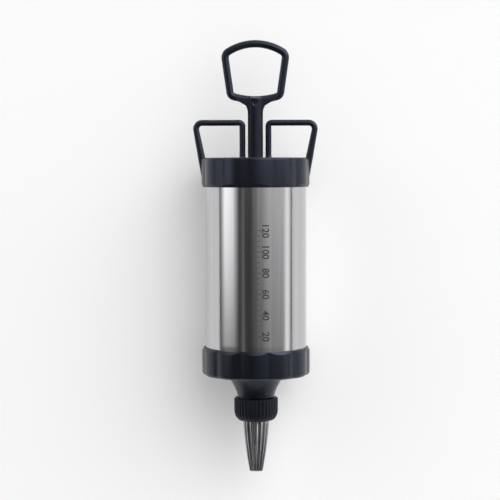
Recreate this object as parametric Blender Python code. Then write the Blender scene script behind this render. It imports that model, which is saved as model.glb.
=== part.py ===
"""Donut filling injector, lying on its side.

A hand syringe with a stainless barrel between two lobed caps. The top cap carries two finger
loops and guides a plunger with a thumb loop. The bottom cap has a neck on which a nut holds a
fluted nozzle. The long axis runs along Y, handle towards +Y and nozzle towards -Y, with the
face that shows the finger loops side by side turned up, to +Z. The origin is under the middle.
"""

import math

import bmesh
import bpy
from mathutils import Matrix, Vector

MM = 0.001

# Clearances
TOUCH_GAP = 0.3 * MM
GUIDE_GAP = 0.35 * MM
RUNNING_GAP = 0.5 * MM
CUT_OVERRUN = 1.0 * MM
MERGE_DISTANCE = 0.00001

# Stack along the axis, from the nozzle's tip to the top of the thumb loop
NOZZLE_VISIBLE_LENGTH = 25.75 * MM
NUT_LENGTH = 11.6 * MM
NECK_VISIBLE_LENGTH = 11.5 * MM
BOTTOM_CAP_HEIGHT = 14.1 * MM
BARREL_VISIBLE_LENGTH = 80.2 * MM
TOP_CAP_HEIGHT = 14.6 * MM
STEM_VISIBLE_LENGTH = 23.9 * MM
THUMB_LOOP_HEIGHT = 34.6 * MM

# Barrel
BARREL_RADIUS = 25.4 * MM
BARREL_WALL = 0.6 * MM

# Lobed caps
LOBE_COUNT = 12
LOBE_COLUMNS = 4
LOBE_DEPTH = 0.7 * MM
CAP_WALL = 1.35 * MM
CRESCENT_HEIGHT = 1.5 * MM
TOP_CAP_TURN = math.radians(3.0)
BOTTOM_CAP_TURN = math.radians(-1.5)

# Top cap
TOP_PLATE_THICKNESS = 2.4 * MM
TOP_EDGE_BEVEL = 1.1 * MM

# Twist-lock between top cap and barrel
LUG_COUNT = 3
LUG_HALF_ANGLE = math.radians(3.5)
LUG_HEIGHT = 2.4 * MM
LUG_DEPTH_BELOW_EDGE = 4.3 * MM
LUG_BORE_RELIEF = 0.1 * MM
LUG_STEPS = 2
LOCK_TURN = math.radians(50.0)
SLOT_STEPS = 10
LOCKED_ANGLE = math.radians(20.0)

# Finger loops
FINGER_BAR_RADIUS = 1.5 * MM
FINGER_ROOT_RADIUS = 1.8 * MM
FINGER_LOOP_HEIGHT = 18.9 * MM
FINGER_LOOP_REACH = 31.85 * MM
FINGER_LEG_GAP = 1.25 * MM
FINGER_LEG_TOP_INSET = 0.1 * MM
FINGER_LEG_ROOT_INSET = 2.65 * MM
FINGER_LEG_ROOT_HEIGHT = 0.5 * MM
FINGER_INNER_CORNER_RADIUS = 1.7 * MM
FINGER_OUTER_CORNER_RADIUS = 3.0 * MM

# Plunger rod
STEM_WIDTH = 7.5 * MM
FRONT_RIB_WIDTH = 5.0 * MM
SIDE_RIB_THICKNESS = 2.0 * MM
ROD_BOSS_LENGTH = 9.0 * MM
STEM_END_RISE = 1.4 * MM
THUMB_BAR_RADIUS = 1.85 * MM
THUMB_LOOP_HALF_WIDTH = 17.15 * MM
THUMB_SIDE_LEAN = 2.9 * MM
THUMB_ARCH_RADIUS = 25.0 * MM
THUMB_TOP_CORNER_RADIUS = 3.6 * MM
THUMB_FOOT_CORNER_RADIUS = 2.6 * MM
THUMB_FOOT_RISE = 2.0 * MM
# Places on the dished foot, as shares of the way from its middle to its corner
THUMB_FOOT_SHARES = (0.3, 0.55, 0.75)
THROAT_HEIGHT = 4.95 * MM
# Right edge of the throat: shares of the way out from the stem's side to the loop's foot
# corner, and of the throat's height
THROAT_EDGE_SHARES = ((0.0, -0.35), (0.02, 0.0), (0.12, 0.42), (0.40, 0.72), (0.88, 1.15))
DIMPLE_RADIUS = 1.65 * MM
DIMPLE_DEPTH = 0.4 * MM
DIMPLE_HEIGHT = 3.4 * MM

# Piston
PLATE_UPPER_THICKNESS = 2.5 * MM
PLATE_EDGE_CHAMFER = 3.0 * MM
SEAL_THICKNESS = 4.0 * MM
SEAL_LIP_HEIGHT = 0.7 * MM
SEAL_LIP_DEPTH = 0.9 * MM
SEAL_LIP_BEVEL = 0.5 * MM
SEAL_THREAD_CLEARANCE = 0.3 * MM
SEAL_HUB_RADIUS = 8.0 * MM
SOCKET_FLOOR = 1.5 * MM
SOCKET_HEIGHT = 6.5 * MM
SOCKET_WALL = 2.4 * MM

# Piston screw
SCREW_RADIUS = 1.9 * MM
SCREW_HEAD_RADIUS = 3.6 * MM
SCREW_HEAD_HEIGHT = 2.0 * MM
SCREW_HEAD_BEVEL = 0.5 * MM
SCREW_GRIP_LENGTH = 6.0 * MM
SCREW_POINT_LENGTH = 1.5 * MM
DRIVE_SLOT_WIDTH = 0.9 * MM
DRIVE_SLOT_LENGTH = 4.0 * MM
DRIVE_SLOT_DEPTH = 1.2 * MM

# Rolled thread between bottom cap and barrel
CAP_THREAD_PITCH = 3.0 * MM
CAP_THREAD_TURNS = 2.0
CAP_THREAD_DEPTH = 0.5 * MM
CAP_THREAD_LEAD = 0.8 * MM
CAP_THREAD_FADE = 1.0 * MM
THREAD_ROWS_PER_TURN = 5

# Bottom gasket
GASKET_THICKNESS = 1.6 * MM
GASKET_WIDTH = 2.6 * MM

# Bottom cap
BOTTOM_FLOOR_THICKNESS = 2.6 * MM
BOTTOM_EDGE_RADIUS = 2.0 * MM
BOTTOM_EDGE_STEPS = 3
FUNNEL_RADIUS = 12.5 * MM
FUNNEL_DEPTH = 10.0 * MM
NECK_RADIUS = 9.3 * MM
NECK_BORE_RADIUS = 6.4 * MM
FLARE_RADIUS = 15.0 * MM
FLARE_HEIGHT = 10.5 * MM
FLARE_HOLLOW = 0.8
FLARE_STEPS = 6

# Neck thread between bottom cap and nozzle nut
NECK_THREAD_RADIUS = 8.7 * MM
NECK_THREAD_PITCH = 2.5 * MM
NECK_THREAD_DEPTH = 0.5 * MM
NECK_THREAD_FADE = 0.8 * MM
NECK_END_CHAMFER = 0.4 * MM

# Nozzle nut
NUT_RADIUS = 11.0 * MM
NUT_FLUTES = 36
NUT_FLUTE_DEPTH = 0.35 * MM
NUT_FOOT_RADIUS = 7.4 * MM
NUT_SHOULDER_HEIGHT = 5.4 * MM
NUT_SHOULDER_STEPS = 4
NUT_TOP_BEVEL = 0.7 * MM
NUT_LEDGE_THICKNESS = 1.8 * MM

# Nozzle
NOZZLE_TIP_RADIUS = 3.25 * MM
NOZZLE_ROOT_RADIUS = 6.5 * MM
NOZZLE_BULGE = 1.5
NOZZLE_STEPS = 4
NOZZLE_FLUTES = 16
NOZZLE_FLUTE_COLUMNS = 4
NOZZLE_FLUTE_DEPTH = 0.5 * MM
NOZZLE_WALL = 0.5 * MM
NOZZLE_TOOTH_HEIGHT = 0.5 * MM
NOZZLE_FLANGE_THICKNESS = 1.0 * MM

# Facets
PLATE_COLUMNS = 40
SCREW_COLUMNS = 16
BAR_SIDES = 12
CORNER_STEPS = 5
ARCH_STEPS = 12

# Stations along the axis, worked out from the stack
total_length = (
    NOZZLE_VISIBLE_LENGTH + NUT_LENGTH + NECK_VISIBLE_LENGTH + BOTTOM_CAP_HEIGHT
    + BARREL_VISIBLE_LENGTH + TOP_CAP_HEIGHT + STEM_VISIBLE_LENGTH + THUMB_LOOP_HEIGHT
)
nozzle_tip = -total_length / 2
nut_foot = nozzle_tip + NOZZLE_VISIBLE_LENGTH
nut_top = nut_foot + NUT_LENGTH
bottom_cap_foot = nut_top + NECK_VISIBLE_LENGTH
bottom_cap_rim = bottom_cap_foot + BOTTOM_CAP_HEIGHT
top_cap_rim = bottom_cap_rim + BARREL_VISIBLE_LENGTH
top_cap_top = top_cap_rim + TOP_CAP_HEIGHT
thumb_loop_foot = top_cap_top + STEM_VISIBLE_LENGTH
thumb_loop_top = thumb_loop_foot + THUMB_LOOP_HEIGHT

top_plate_underside = top_cap_top - TOP_PLATE_THICKNESS
barrel_top = top_plate_underside - TOUCH_GAP
bottom_floor = bottom_cap_foot + BOTTOM_FLOOR_THICKNESS
gasket_foot = bottom_floor + TOUCH_GAP
barrel_foot = gasket_foot + GASKET_THICKNESS + TOUCH_GAP
cap_thread_length = CAP_THREAD_TURNS * CAP_THREAD_PITCH
cap_thread_top = barrel_foot + cap_thread_length

nozzle_flange_foot = nut_foot + NUT_LEDGE_THICKNESS + TOUCH_GAP
nozzle_flange_top = nozzle_flange_foot + NOZZLE_FLANGE_THICKNESS
neck_foot = nozzle_flange_top + TOUCH_GAP
neck_shoulder = nut_top + TOUCH_GAP

# Radii that follow from the barrel
barrel_bore = BARREL_RADIUS - BARREL_WALL
cap_bore = BARREL_RADIUS + TOUCH_GAP
cap_crest_radius = cap_bore + CAP_WALL
cap_valley_radius = cap_crest_radius - LOBE_DEPTH
neck_thread_root = NECK_THREAD_RADIUS - NECK_THREAD_DEPTH
nut_bore = NECK_THREAD_RADIUS + TOUCH_GAP

# Piston stack, which rests just above the gasket
piston_foot = barrel_foot + TOUCH_GAP
lower_plate_top = cap_thread_top + SEAL_THREAD_CLEARANCE
seal_foot = lower_plate_top + TOUCH_GAP
seal_top = seal_foot + SEAL_THICKNESS
upper_plate_foot = seal_top + TOUCH_GAP
upper_plate_top = upper_plate_foot + PLATE_UPPER_THICKNESS
rod_foot = upper_plate_foot + SOCKET_FLOOR + TOUCH_GAP
plate_radius = barrel_bore - CAP_THREAD_DEPTH - RUNNING_GAP
seal_radius = barrel_bore - TOUCH_GAP
screw_hole_radius = SCREW_RADIUS + TOUCH_GAP
screw_recess_radius = SCREW_HEAD_RADIUS + TOUCH_GAP
screw_seat = piston_foot + SCREW_HEAD_HEIGHT + TOUCH_GAP
screw_tip = rod_foot + SCREW_GRIP_LENGTH
rod_boss_radius = STEM_WIDTH / 2


def crest_height(turn):
    """Distance from the axis down to the lowest lobe of a cap turned by this angle."""
    step = 2 * math.pi / LOBE_COUNT
    offset = (math.pi - turn + step / 2) % step - step / 2
    return cap_crest_radius * math.cos(offset)


axis_height = max(crest_height(TOP_CAP_TURN), crest_height(BOTTOM_CAP_TURN))


def clear_scene():
    for item in list(bpy.data.objects):
        bpy.data.objects.remove(item, do_unlink=True)


def make_material(name, colour, roughness, metallic):
    material = bpy.data.materials.new(name)
    material.use_nodes = True
    shader = material.node_tree.nodes["Principled BSDF"]
    shader.inputs["Base Color"].default_value = (*colour, 1.0)
    shader.inputs["Roughness"].default_value = roughness
    shader.inputs["Metallic"].default_value = metallic
    return material


def black_plastic(name):
    return make_material(name, (0.012, 0.013, 0.017), 0.42, 0.0)


def steel(name):
    return make_material(name, (0.62, 0.61, 0.60), 0.22, 1.0)


def silicone(name):
    return make_material(name, (0.62, 0.62, 0.60), 0.55, 0.0)


def place(name, mesh, axis, station, material=None):
    """Object on the joint axis, with its origin at a station along it."""
    mesh.transform(Matrix.Translation((0.0, -station, 0.0)))
    mesh.shade_smooth()
    mesh.set_sharp_from_angle(angle=math.radians(30.0))
    item = bpy.data.objects.new(name, mesh)
    bpy.context.collection.objects.link(item)
    item.parent = axis
    item.location = (0.0, station, 0.0)
    if material is None:
        item.hide_render = True
        item.display_type = "WIRE"
    else:
        mesh.materials.append(material)
    return item


def finished_mesh(name, shape):
    bmesh.ops.remove_doubles(shape, verts=shape.verts, dist=MERGE_DISTANCE)
    bmesh.ops.recalc_face_normals(shape, faces=shape.faces)
    mesh = bpy.data.meshes.new(name)
    shape.to_mesh(mesh)
    shape.free()
    return mesh


def circle(radius, along):
    return lambda angle: (radius, along)


def ring_solid(name, rings, columns, first_angle=0.0, closed=True):
    """Solid through rings around the Y axis.

    A ring is a function from an angle, measured from +Z towards +X, to a radius and a place
    along Y. A closed solid joins its last ring to its first; an open one ends on the axis.
    """
    shape = bmesh.new()
    grid = []
    for ring in rings:
        row = []
        for column in range(columns):
            angle = first_angle + 2 * math.pi * column / columns
            radius, along = ring(angle)
            place_x = radius * math.sin(angle)
            place_z = radius * math.cos(angle)
            row.append(shape.verts.new((place_x, along, place_z)))
        grid.append(row)
    last = len(grid) if closed else len(grid) - 1
    for index in range(last):
        row = grid[index]
        following = grid[(index + 1) % len(grid)]
        for column in range(columns):
            beside = (column + 1) % columns
            corners = (row[column], row[beside], following[beside], following[column])
            shape.faces.new(corners)
    return finished_mesh(name, shape)


def loft(name, sections):
    """Solid through sections, each a list of points in the same order, closed at both ends."""
    shape = bmesh.new()
    rows = [[shape.verts.new(point) for point in section] for section in sections]
    count = len(rows[0])
    for row, following in zip(rows, rows[1:]):
        for index in range(count):
            beside = (index + 1) % count
            shape.faces.new((row[index], row[beside], following[beside], following[index]))
    shape.faces.new(rows[0])
    shape.faces.new(list(reversed(rows[-1])))
    return finished_mesh(name, shape)


def swept_bar(name, path, radii, closed):
    """Round bar along a flat path of (x, y) points, with a radius for each."""
    shape = bmesh.new()
    count = len(path)
    rows = []
    for index, point in enumerate(path):
        if closed:
            before = path[index - 1]
            after = path[(index + 1) % count]
        else:
            before = path[max(index - 1, 0)]
            after = path[min(index + 1, count - 1)]
        tangent = (after - before).normalized()
        row = []
        for side in range(BAR_SIDES):
            angle = 2 * math.pi * side / BAR_SIDES
            across = radii[index] * math.cos(angle)
            up = radii[index] * math.sin(angle)
            row.append(shape.verts.new((point.x - tangent.y * across, point.y + tangent.x * across, up)))
        rows.append(row)
    last = count if closed else count - 1
    for index in range(last):
        row = rows[index]
        following = rows[(index + 1) % count]
        for side in range(BAR_SIDES):
            beside = (side + 1) % BAR_SIDES
            shape.faces.new((row[side], row[beside], following[beside], following[side]))
    if not closed:
        shape.faces.new(rows[0])
        shape.faces.new(list(reversed(rows[-1])))
    return finished_mesh(name, shape)


def fillet(before, corner, after, radius):
    """Points of a round corner, from the line that comes in to the line that goes out."""
    incoming = (before - corner).normalized()
    outgoing = (after - corner).normalized()
    half = incoming.angle(outgoing) / 2
    centre = corner + (incoming + outgoing).normalized() * (radius / math.sin(half))
    start = corner + incoming * (radius / math.tan(half)) - centre
    end = corner + outgoing * (radius / math.tan(half)) - centre
    points = []
    for step in range(CORNER_STEPS + 1):
        blend = start.slerp(end, step / CORNER_STEPS)
        points.append(centre + blend.normalized() * radius)
    return points


def boolean(item, other, operation):
    modifier = item.modifiers.new(other.name, "BOOLEAN")
    modifier.object = other
    modifier.operation = operation
    modifier.solver = "EXACT"


def lobe_share(angle, turn):
    """0 at the middle of a lobe, 1 in the crease between two."""
    step = 2 * math.pi / LOBE_COUNT
    offset = (angle - turn + step / 2) % step - step / 2
    return abs(offset) / (step / 2)


def lobe_ring(along, turn, inset=0.0):
    """Ring on the lobed outline."""
    def ring(angle):
        share = lobe_share(angle, turn)
        return cap_crest_radius - LOBE_DEPTH * share * share - inset, along
    return ring


def crescent_ring(rim, direction, turn):
    """Ring where the cone that trims the rim leaves each lobe, which draws a crescent on it."""
    def ring(angle):
        share = lobe_share(angle, turn)
        height = CRESCENT_HEIGHT * (1 - share * share)
        return cap_crest_radius - LOBE_DEPTH * share * share, rim + direction * height
    return ring


def thread_wave(angle, along, pitch):
    """Right-handed thread: 1 on its crest line and 0 half a pitch away."""
    return 0.5 + 0.5 * math.cos(2 * math.pi * along / pitch - angle)


def fade(along, low, high, length):
    """1 between low and high, falling to 0 over a length inside each end."""
    inside = min(along - low, high - along) / length
    return min(max(inside, 0.0), 1.0)


def thread_rings(base, height, low, high, pitch, fade_low, fade_high, fade_length):
    """Rings from low to high whose radius is the base plus the height on the thread's crest."""
    count = max(2, round((high - low) / pitch * THREAD_ROWS_PER_TURN))
    rings = []
    for row in range(count + 1):
        along = low + (high - low) * row / count

        def ring(angle, along=along):
            strength = fade(along, fade_low, fade_high, fade_length)
            return base + height * strength * thread_wave(angle, along, pitch), along
        rings.append(ring)
    return rings


def sector(name, low, high, inner, outer, middle, half_angle, steps):
    """Block between two radii, over an angle either side of the middle one."""
    sections = []
    for step in range(steps + 1):
        angle = middle - half_angle + 2 * half_angle * step / steps
        across = Vector((math.sin(angle), 0.0, math.cos(angle)))
        foot = Vector((0.0, low, 0.0))
        head = Vector((0.0, high, 0.0))
        sections.append([
            foot + across * inner, foot + across * outer,
            head + across * outer, head + across * inner,
        ])
    return loft(name, sections)


def make_barrel(axis):
    """Thin tube with a thread rolled into its lower end and three slots at its upper end."""
    low = barrel_foot
    high = cap_thread_top
    thread = (low, high, CAP_THREAD_PITCH, low - cap_thread_length, high, CAP_THREAD_FADE)
    outside = thread_rings(BARREL_RADIUS, -CAP_THREAD_DEPTH, *thread)
    inside = thread_rings(barrel_bore, -CAP_THREAD_DEPTH, *thread)
    rings = outside + [circle(BARREL_RADIUS, barrel_top), circle(barrel_bore, barrel_top)]
    rings += list(reversed(inside))
    columns = LOBE_COUNT * LOBE_COLUMNS
    mesh = ring_solid("barrel", rings, columns)
    barrel = place("barrel", mesh, axis, barrel_foot, steel("barrel_steel"))

    lug_top = barrel_top - LUG_DEPTH_BELOW_EDGE
    slot_top = lug_top + TOUCH_GAP
    slot_foot = lug_top - LUG_HEIGHT - TOUCH_GAP
    slot_half = LUG_HALF_ANGLE + TOUCH_GAP / barrel_bore
    run_half = LOCK_TURN / 2 + slot_half
    inner = barrel_bore - CUT_OVERRUN
    outer = BARREL_RADIUS + CUT_OVERRUN
    for number in range(LUG_COUNT):
        locked = LOCKED_ANGLE + 2 * math.pi * number / LUG_COUNT
        entry_high = barrel_top + CUT_OVERRUN
        run = sector("slot_run", slot_foot, slot_top, inner, outer,
                     locked + LOCK_TURN / 2, run_half, SLOT_STEPS)
        entry = sector("slot_entry", slot_foot, entry_high, inner, outer,
                       locked + LOCK_TURN, slot_half, LUG_STEPS)
        boolean(barrel, place("slot_run_cutter", run, axis, barrel_top), "DIFFERENCE")
        boolean(barrel, place("slot_entry_cutter", entry, axis, barrel_top), "DIFFERENCE")
    return barrel


def finger_loop_path(side):
    """Middle line of one finger loop, from the cap's top round to its rim, and its radii."""
    inner_x = STEM_WIDTH / 2 + FINGER_LEG_GAP + FINGER_BAR_RADIUS
    outer_x = FINGER_LOOP_REACH - FINGER_BAR_RADIUS
    bar_y = top_cap_top + FINGER_LOOP_HEIGHT - FINGER_BAR_RADIUS
    corners = [
        Vector((inner_x, top_cap_top - TOP_PLATE_THICKNESS / 2)),
        Vector((inner_x, bar_y)),
        Vector((outer_x, bar_y)),
        Vector((cap_crest_radius - FINGER_LEG_TOP_INSET, top_cap_top)),
        Vector((cap_crest_radius - FINGER_LEG_ROOT_INSET, top_cap_rim + FINGER_LEG_ROOT_HEIGHT)),
    ]
    path = [corners[0]]
    path += fillet(*corners[0:3], FINGER_INNER_CORNER_RADIUS)
    path += fillet(*corners[1:4], FINGER_OUTER_CORNER_RADIUS)
    radii = [FINGER_BAR_RADIUS] * len(path)
    path += corners[3:]
    radii += [FINGER_ROOT_RADIUS] * len(corners[3:])
    return [Vector((side * point.x, point.y)) for point in path], radii


def cross_section(along, grow=0.0, depth_scale=1.0):
    """Plus-shaped section of the ribbed stem, as points at a place along the axis."""
    wide = STEM_WIDTH / 2 + grow
    rib = FRONT_RIB_WIDTH / 2 + grow
    thick = SIDE_RIB_THICKNESS / 2 + grow
    tall = wide * depth_scale
    outline = [
        (rib, tall), (rib, thick), (wide, thick), (wide, -thick), (rib, -thick), (rib, -tall),
        (-rib, -tall), (-rib, -thick), (-wide, -thick), (-wide, thick), (-rib, thick), (-rib, tall),
    ]
    return [(x, along, z) for x, z in outline]


def make_top_cap(axis):
    """Lobed cap with two finger loops, a guide hole for the stem and three locking lugs."""
    turn = TOP_CAP_TURN
    rings = [
        circle(0.0, top_cap_rim),
        circle(cap_valley_radius, top_cap_rim),
        crescent_ring(top_cap_rim, 1, turn),
        lobe_ring(top_cap_top - TOP_EDGE_BEVEL, turn),
        lobe_ring(top_cap_top, turn, TOP_EDGE_BEVEL),
        circle(0.0, top_cap_top),
    ]
    columns = LOBE_COUNT * LOBE_COLUMNS
    first = turn - math.pi / LOBE_COUNT
    mesh = ring_solid("top_cap", rings, columns, first, closed=False)
    cap = place("top_cap", mesh, axis, top_cap_rim, black_plastic("top_cap_plastic"))

    for side in (-1, 1):
        path, radii = finger_loop_path(side)
        bar = swept_bar("finger_loop", path, radii, closed=False)
        boolean(cap, place("finger_loop_guide", bar, axis, top_cap_top), "UNION")

    bore_rings = [
        circle(0.0, top_cap_rim - CUT_OVERRUN),
        circle(cap_bore, top_cap_rim - CUT_OVERRUN),
        circle(cap_bore, top_plate_underside),
        circle(0.0, top_plate_underside),
    ]
    bore = ring_solid("cap_bore", bore_rings, columns, closed=False)
    boolean(cap, place("cap_bore_cutter", bore, axis, top_cap_rim), "DIFFERENCE")

    lug_top = barrel_top - LUG_DEPTH_BELOW_EDGE
    lug_inner = barrel_bore + LUG_BORE_RELIEF
    lug_outer = cap_bore + CAP_WALL / 4
    for number in range(LUG_COUNT):
        middle = LOCKED_ANGLE + 2 * math.pi * number / LUG_COUNT
        lug = sector("lug", lug_top - LUG_HEIGHT, lug_top, lug_inner, lug_outer,
                     middle, LUG_HALF_ANGLE, LUG_STEPS)
        boolean(cap, place("lug_guide", lug, axis, barrel_top), "UNION")

    guide = loft("guide_hole", [
        cross_section(top_plate_underside - CUT_OVERRUN, GUIDE_GAP),
        cross_section(top_cap_top + CUT_OVERRUN, GUIDE_GAP),
    ])
    boolean(cap, place("guide_hole_cutter", guide, axis, top_cap_top), "DIFFERENCE")
    return cap


def thumb_loop_path():
    """Middle line of the thumb loop: slightly dished foot, leaning sides and arched top."""
    apex = thumb_loop_top - THUMB_BAR_RADIUS
    foot = thumb_loop_foot + THROAT_HEIGHT
    top_x = THUMB_LOOP_HALF_WIDTH - THUMB_BAR_RADIUS
    foot_x = top_x - THUMB_SIDE_LEAN
    foot_corner = Vector((foot_x, foot + THUMB_FOOT_RISE))
    centre_y = apex - THUMB_ARCH_RADIUS
    top_corner = Vector((top_x, centre_y + math.sqrt(THUMB_ARCH_RADIUS ** 2 - top_x ** 2)))
    half_sweep = math.asin(top_x / THUMB_ARCH_RADIUS)
    arch = []
    for step in range(1, ARCH_STEPS):
        angle = half_sweep * (1 - step / (ARCH_STEPS / 2))
        across = THUMB_ARCH_RADIUS * math.sin(angle)
        arch.append(Vector((across, centre_y + THUMB_ARCH_RADIUS * math.cos(angle))))
    top_fillet = fillet(foot_corner, top_corner, arch[0], THUMB_TOP_CORNER_RADIUS)
    reach = top_fillet[-1].x
    middle = [point for point in arch if abs(point.x) < reach]
    dish = [Vector((foot_x * out, foot + THUMB_FOOT_RISE * out * out)) for out in THUMB_FOOT_SHARES]
    right = dish + fillet(dish[-1], foot_corner, top_corner, THUMB_FOOT_CORNER_RADIUS) + top_fillet
    left = [Vector((-point.x, point.y)) for point in reversed(right)]
    return [Vector((0.0, foot))] + right + middle + left


def throat_outline():
    """Web that spreads the stem into the foot of the thumb loop."""
    wide = STEM_WIDTH / 2
    reach = THUMB_LOOP_HALF_WIDTH - THUMB_SIDE_LEAN - THUMB_BAR_RADIUS
    right = []
    for out, up in THROAT_EDGE_SHARES:
        right.append(Vector((wide + (reach - wide) * out, thumb_loop_foot + THROAT_HEIGHT * up)))
    left = [Vector((-point.x, point.y)) for point in reversed(right)]
    return right + left


def make_plunger_rod(axis):
    """Thumb loop, throat and ribbed stem, with a round boss that takes the piston screw."""
    boss_top = rod_foot + ROD_BOSS_LENGTH
    loop_level = thumb_loop_foot + THROAT_HEIGHT
    depth_scale = THUMB_BAR_RADIUS / (STEM_WIDTH / 2)
    stem = loft("plunger_rod", [
        cross_section(boss_top - STEM_WIDTH / 2),
        cross_section(loop_level),
        cross_section(loop_level + STEM_END_RISE, 0.0, depth_scale),
    ])
    rod = place("plunger_rod", stem, axis, rod_foot, black_plastic("plunger_rod_plastic"))

    boss_rings = [
        circle(0.0, rod_foot),
        circle(rod_boss_radius, rod_foot),
        circle(rod_boss_radius, boss_top),
        circle(0.0, boss_top),
    ]
    boss = ring_solid("rod_boss", boss_rings, 2 * BAR_SIDES, closed=False)
    boolean(rod, place("rod_boss_guide", boss, axis, rod_foot), "UNION")

    outline = throat_outline()
    throat = loft("throat", [
        [(point.x, point.y, -THUMB_BAR_RADIUS) for point in outline],
        [(point.x, point.y, THUMB_BAR_RADIUS) for point in outline],
    ])
    boolean(rod, place("throat_guide", throat, axis, thumb_loop_foot), "UNION")

    path = thumb_loop_path()
    loop = swept_bar("thumb_loop", path, [THUMB_BAR_RADIUS] * len(path), closed=True)
    boolean(rod, place("thumb_loop_guide", loop, axis, thumb_loop_foot), "UNION")

    dimple_y = thumb_loop_foot + DIMPLE_HEIGHT
    dimple_floor = STEM_WIDTH / 2 - DIMPLE_DEPTH
    dimple_sections = []
    for z in (dimple_floor, STEM_WIDTH / 2 + CUT_OVERRUN):
        section = []
        for side in range(SCREW_COLUMNS):
            angle = 2 * math.pi * side / SCREW_COLUMNS
            across = DIMPLE_RADIUS * math.cos(angle)
            section.append((across, dimple_y + DIMPLE_RADIUS * math.sin(angle), z))
        dimple_sections.append(section)
    dimple = loft("dimple", dimple_sections)
    boolean(rod, place("dimple_cutter", dimple, axis, thumb_loop_foot), "DIFFERENCE")

    hole_rings = [
        circle(0.0, rod_foot - CUT_OVERRUN),
        circle(screw_hole_radius, rod_foot - CUT_OVERRUN),
        circle(screw_hole_radius, screw_tip + TOUCH_GAP),
        circle(0.0, screw_tip + TOUCH_GAP),
    ]
    hole = ring_solid("screw_hole", hole_rings, SCREW_COLUMNS, closed=False)
    boolean(rod, place("screw_hole_cutter", hole, axis, rod_foot), "DIFFERENCE")
    return rod


def make_upper_plate(axis):
    """Disc behind the seal, with a socket for the rod's boss."""
    socket_radius = rod_boss_radius + TOUCH_GAP
    hub_radius = socket_radius + SOCKET_WALL
    hub_top = upper_plate_foot + SOCKET_HEIGHT
    floor = upper_plate_foot + SOCKET_FLOOR
    rings = [
        circle(screw_hole_radius, upper_plate_foot),
        circle(plate_radius, upper_plate_foot),
        circle(plate_radius, upper_plate_top),
        circle(hub_radius, upper_plate_top),
        circle(hub_radius, hub_top),
        circle(socket_radius, hub_top),
        circle(socket_radius, floor),
        circle(screw_hole_radius, floor),
    ]
    mesh = ring_solid("piston_upper_plate", rings, PLATE_COLUMNS)
    return place("piston_upper_plate", mesh, axis, upper_plate_foot, black_plastic("upper_plate_plastic"))


def make_seal(axis):
    """Silicone ring with two lips on the barrel's wall."""
    inner = SEAL_HUB_RADIUS + TOUCH_GAP
    groove = seal_radius - SEAL_LIP_DEPTH
    edge = seal_radius - SEAL_LIP_BEVEL
    lip = SEAL_LIP_BEVEL + SEAL_LIP_HEIGHT
    rings = [
        circle(inner, seal_foot),
        circle(edge, seal_foot),
        circle(seal_radius, seal_foot + SEAL_LIP_BEVEL),
        circle(seal_radius, seal_foot + lip),
        circle(groove, seal_foot + lip + SEAL_LIP_BEVEL),
        circle(groove, seal_top - lip - SEAL_LIP_BEVEL),
        circle(seal_radius, seal_top - lip),
        circle(seal_radius, seal_top - SEAL_LIP_BEVEL),
        circle(edge, seal_top),
        circle(inner, seal_top),
    ]
    mesh = ring_solid("piston_seal", rings, PLATE_COLUMNS)
    return place("piston_seal", mesh, axis, seal_foot, silicone("piston_seal_silicone"))


def make_lower_plate(axis):
    """Disc in front of the seal, whose hub passes through the seal, with a recess for the screw."""
    hub_top = upper_plate_foot - TOUCH_GAP
    rings = [
        circle(screw_recess_radius, piston_foot),
        circle(plate_radius - PLATE_EDGE_CHAMFER, piston_foot),
        circle(plate_radius, piston_foot + PLATE_EDGE_CHAMFER),
        circle(plate_radius, lower_plate_top),
        circle(SEAL_HUB_RADIUS, lower_plate_top),
        circle(SEAL_HUB_RADIUS, hub_top),
        circle(screw_hole_radius, hub_top),
        circle(screw_hole_radius, screw_seat),
        circle(screw_recess_radius, screw_seat),
    ]
    mesh = ring_solid("piston_lower_plate", rings, PLATE_COLUMNS)
    return place("piston_lower_plate", mesh, axis, piston_foot, black_plastic("lower_plate_plastic"))


def make_piston_screw(axis):
    """Pan-head screw with a cross recess."""
    head_top = piston_foot + SCREW_HEAD_HEIGHT
    rings = [
        circle(0.0, piston_foot),
        circle(SCREW_HEAD_RADIUS - SCREW_HEAD_BEVEL, piston_foot),
        circle(SCREW_HEAD_RADIUS, piston_foot + SCREW_HEAD_BEVEL),
        circle(SCREW_HEAD_RADIUS, head_top),
        circle(SCREW_RADIUS, head_top),
        circle(SCREW_RADIUS, screw_tip - SCREW_POINT_LENGTH),
        circle(0.0, screw_tip),
    ]
    mesh = ring_solid("piston_screw", rings, SCREW_COLUMNS, closed=False)
    screw = place("piston_screw", mesh, axis, piston_foot, steel("piston_screw_steel"))
    half_width = DRIVE_SLOT_WIDTH / 2
    half_length = DRIVE_SLOT_LENGTH / 2
    outline = [
        (half_width, half_length), (half_width, half_width), (half_length, half_width),
        (half_length, -half_width), (half_width, -half_width), (half_width, -half_length),
        (-half_width, -half_length), (-half_width, -half_width), (-half_length, -half_width),
        (-half_length, half_width), (-half_width, half_width), (-half_width, half_length),
    ]
    drive = loft("drive", [
        [(x, piston_foot - CUT_OVERRUN, z) for x, z in outline],
        [(x, piston_foot + DRIVE_SLOT_DEPTH, z) for x, z in outline],
    ])
    boolean(screw, place("drive_cutter", drive, axis, piston_foot), "DIFFERENCE")
    return screw


def make_gasket(axis):
    """Flat silicone ring under the barrel's lower edge."""
    top = gasket_foot + GASKET_THICKNESS
    inner = BARREL_RADIUS - GASKET_WIDTH
    rings = [
        circle(inner, gasket_foot),
        circle(BARREL_RADIUS, gasket_foot),
        circle(BARREL_RADIUS, top),
        circle(inner, top),
    ]
    mesh = ring_solid("bottom_gasket", rings, PLATE_COLUMNS)
    return place("bottom_gasket", mesh, axis, gasket_foot, silicone("gasket_silicone"))


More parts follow.
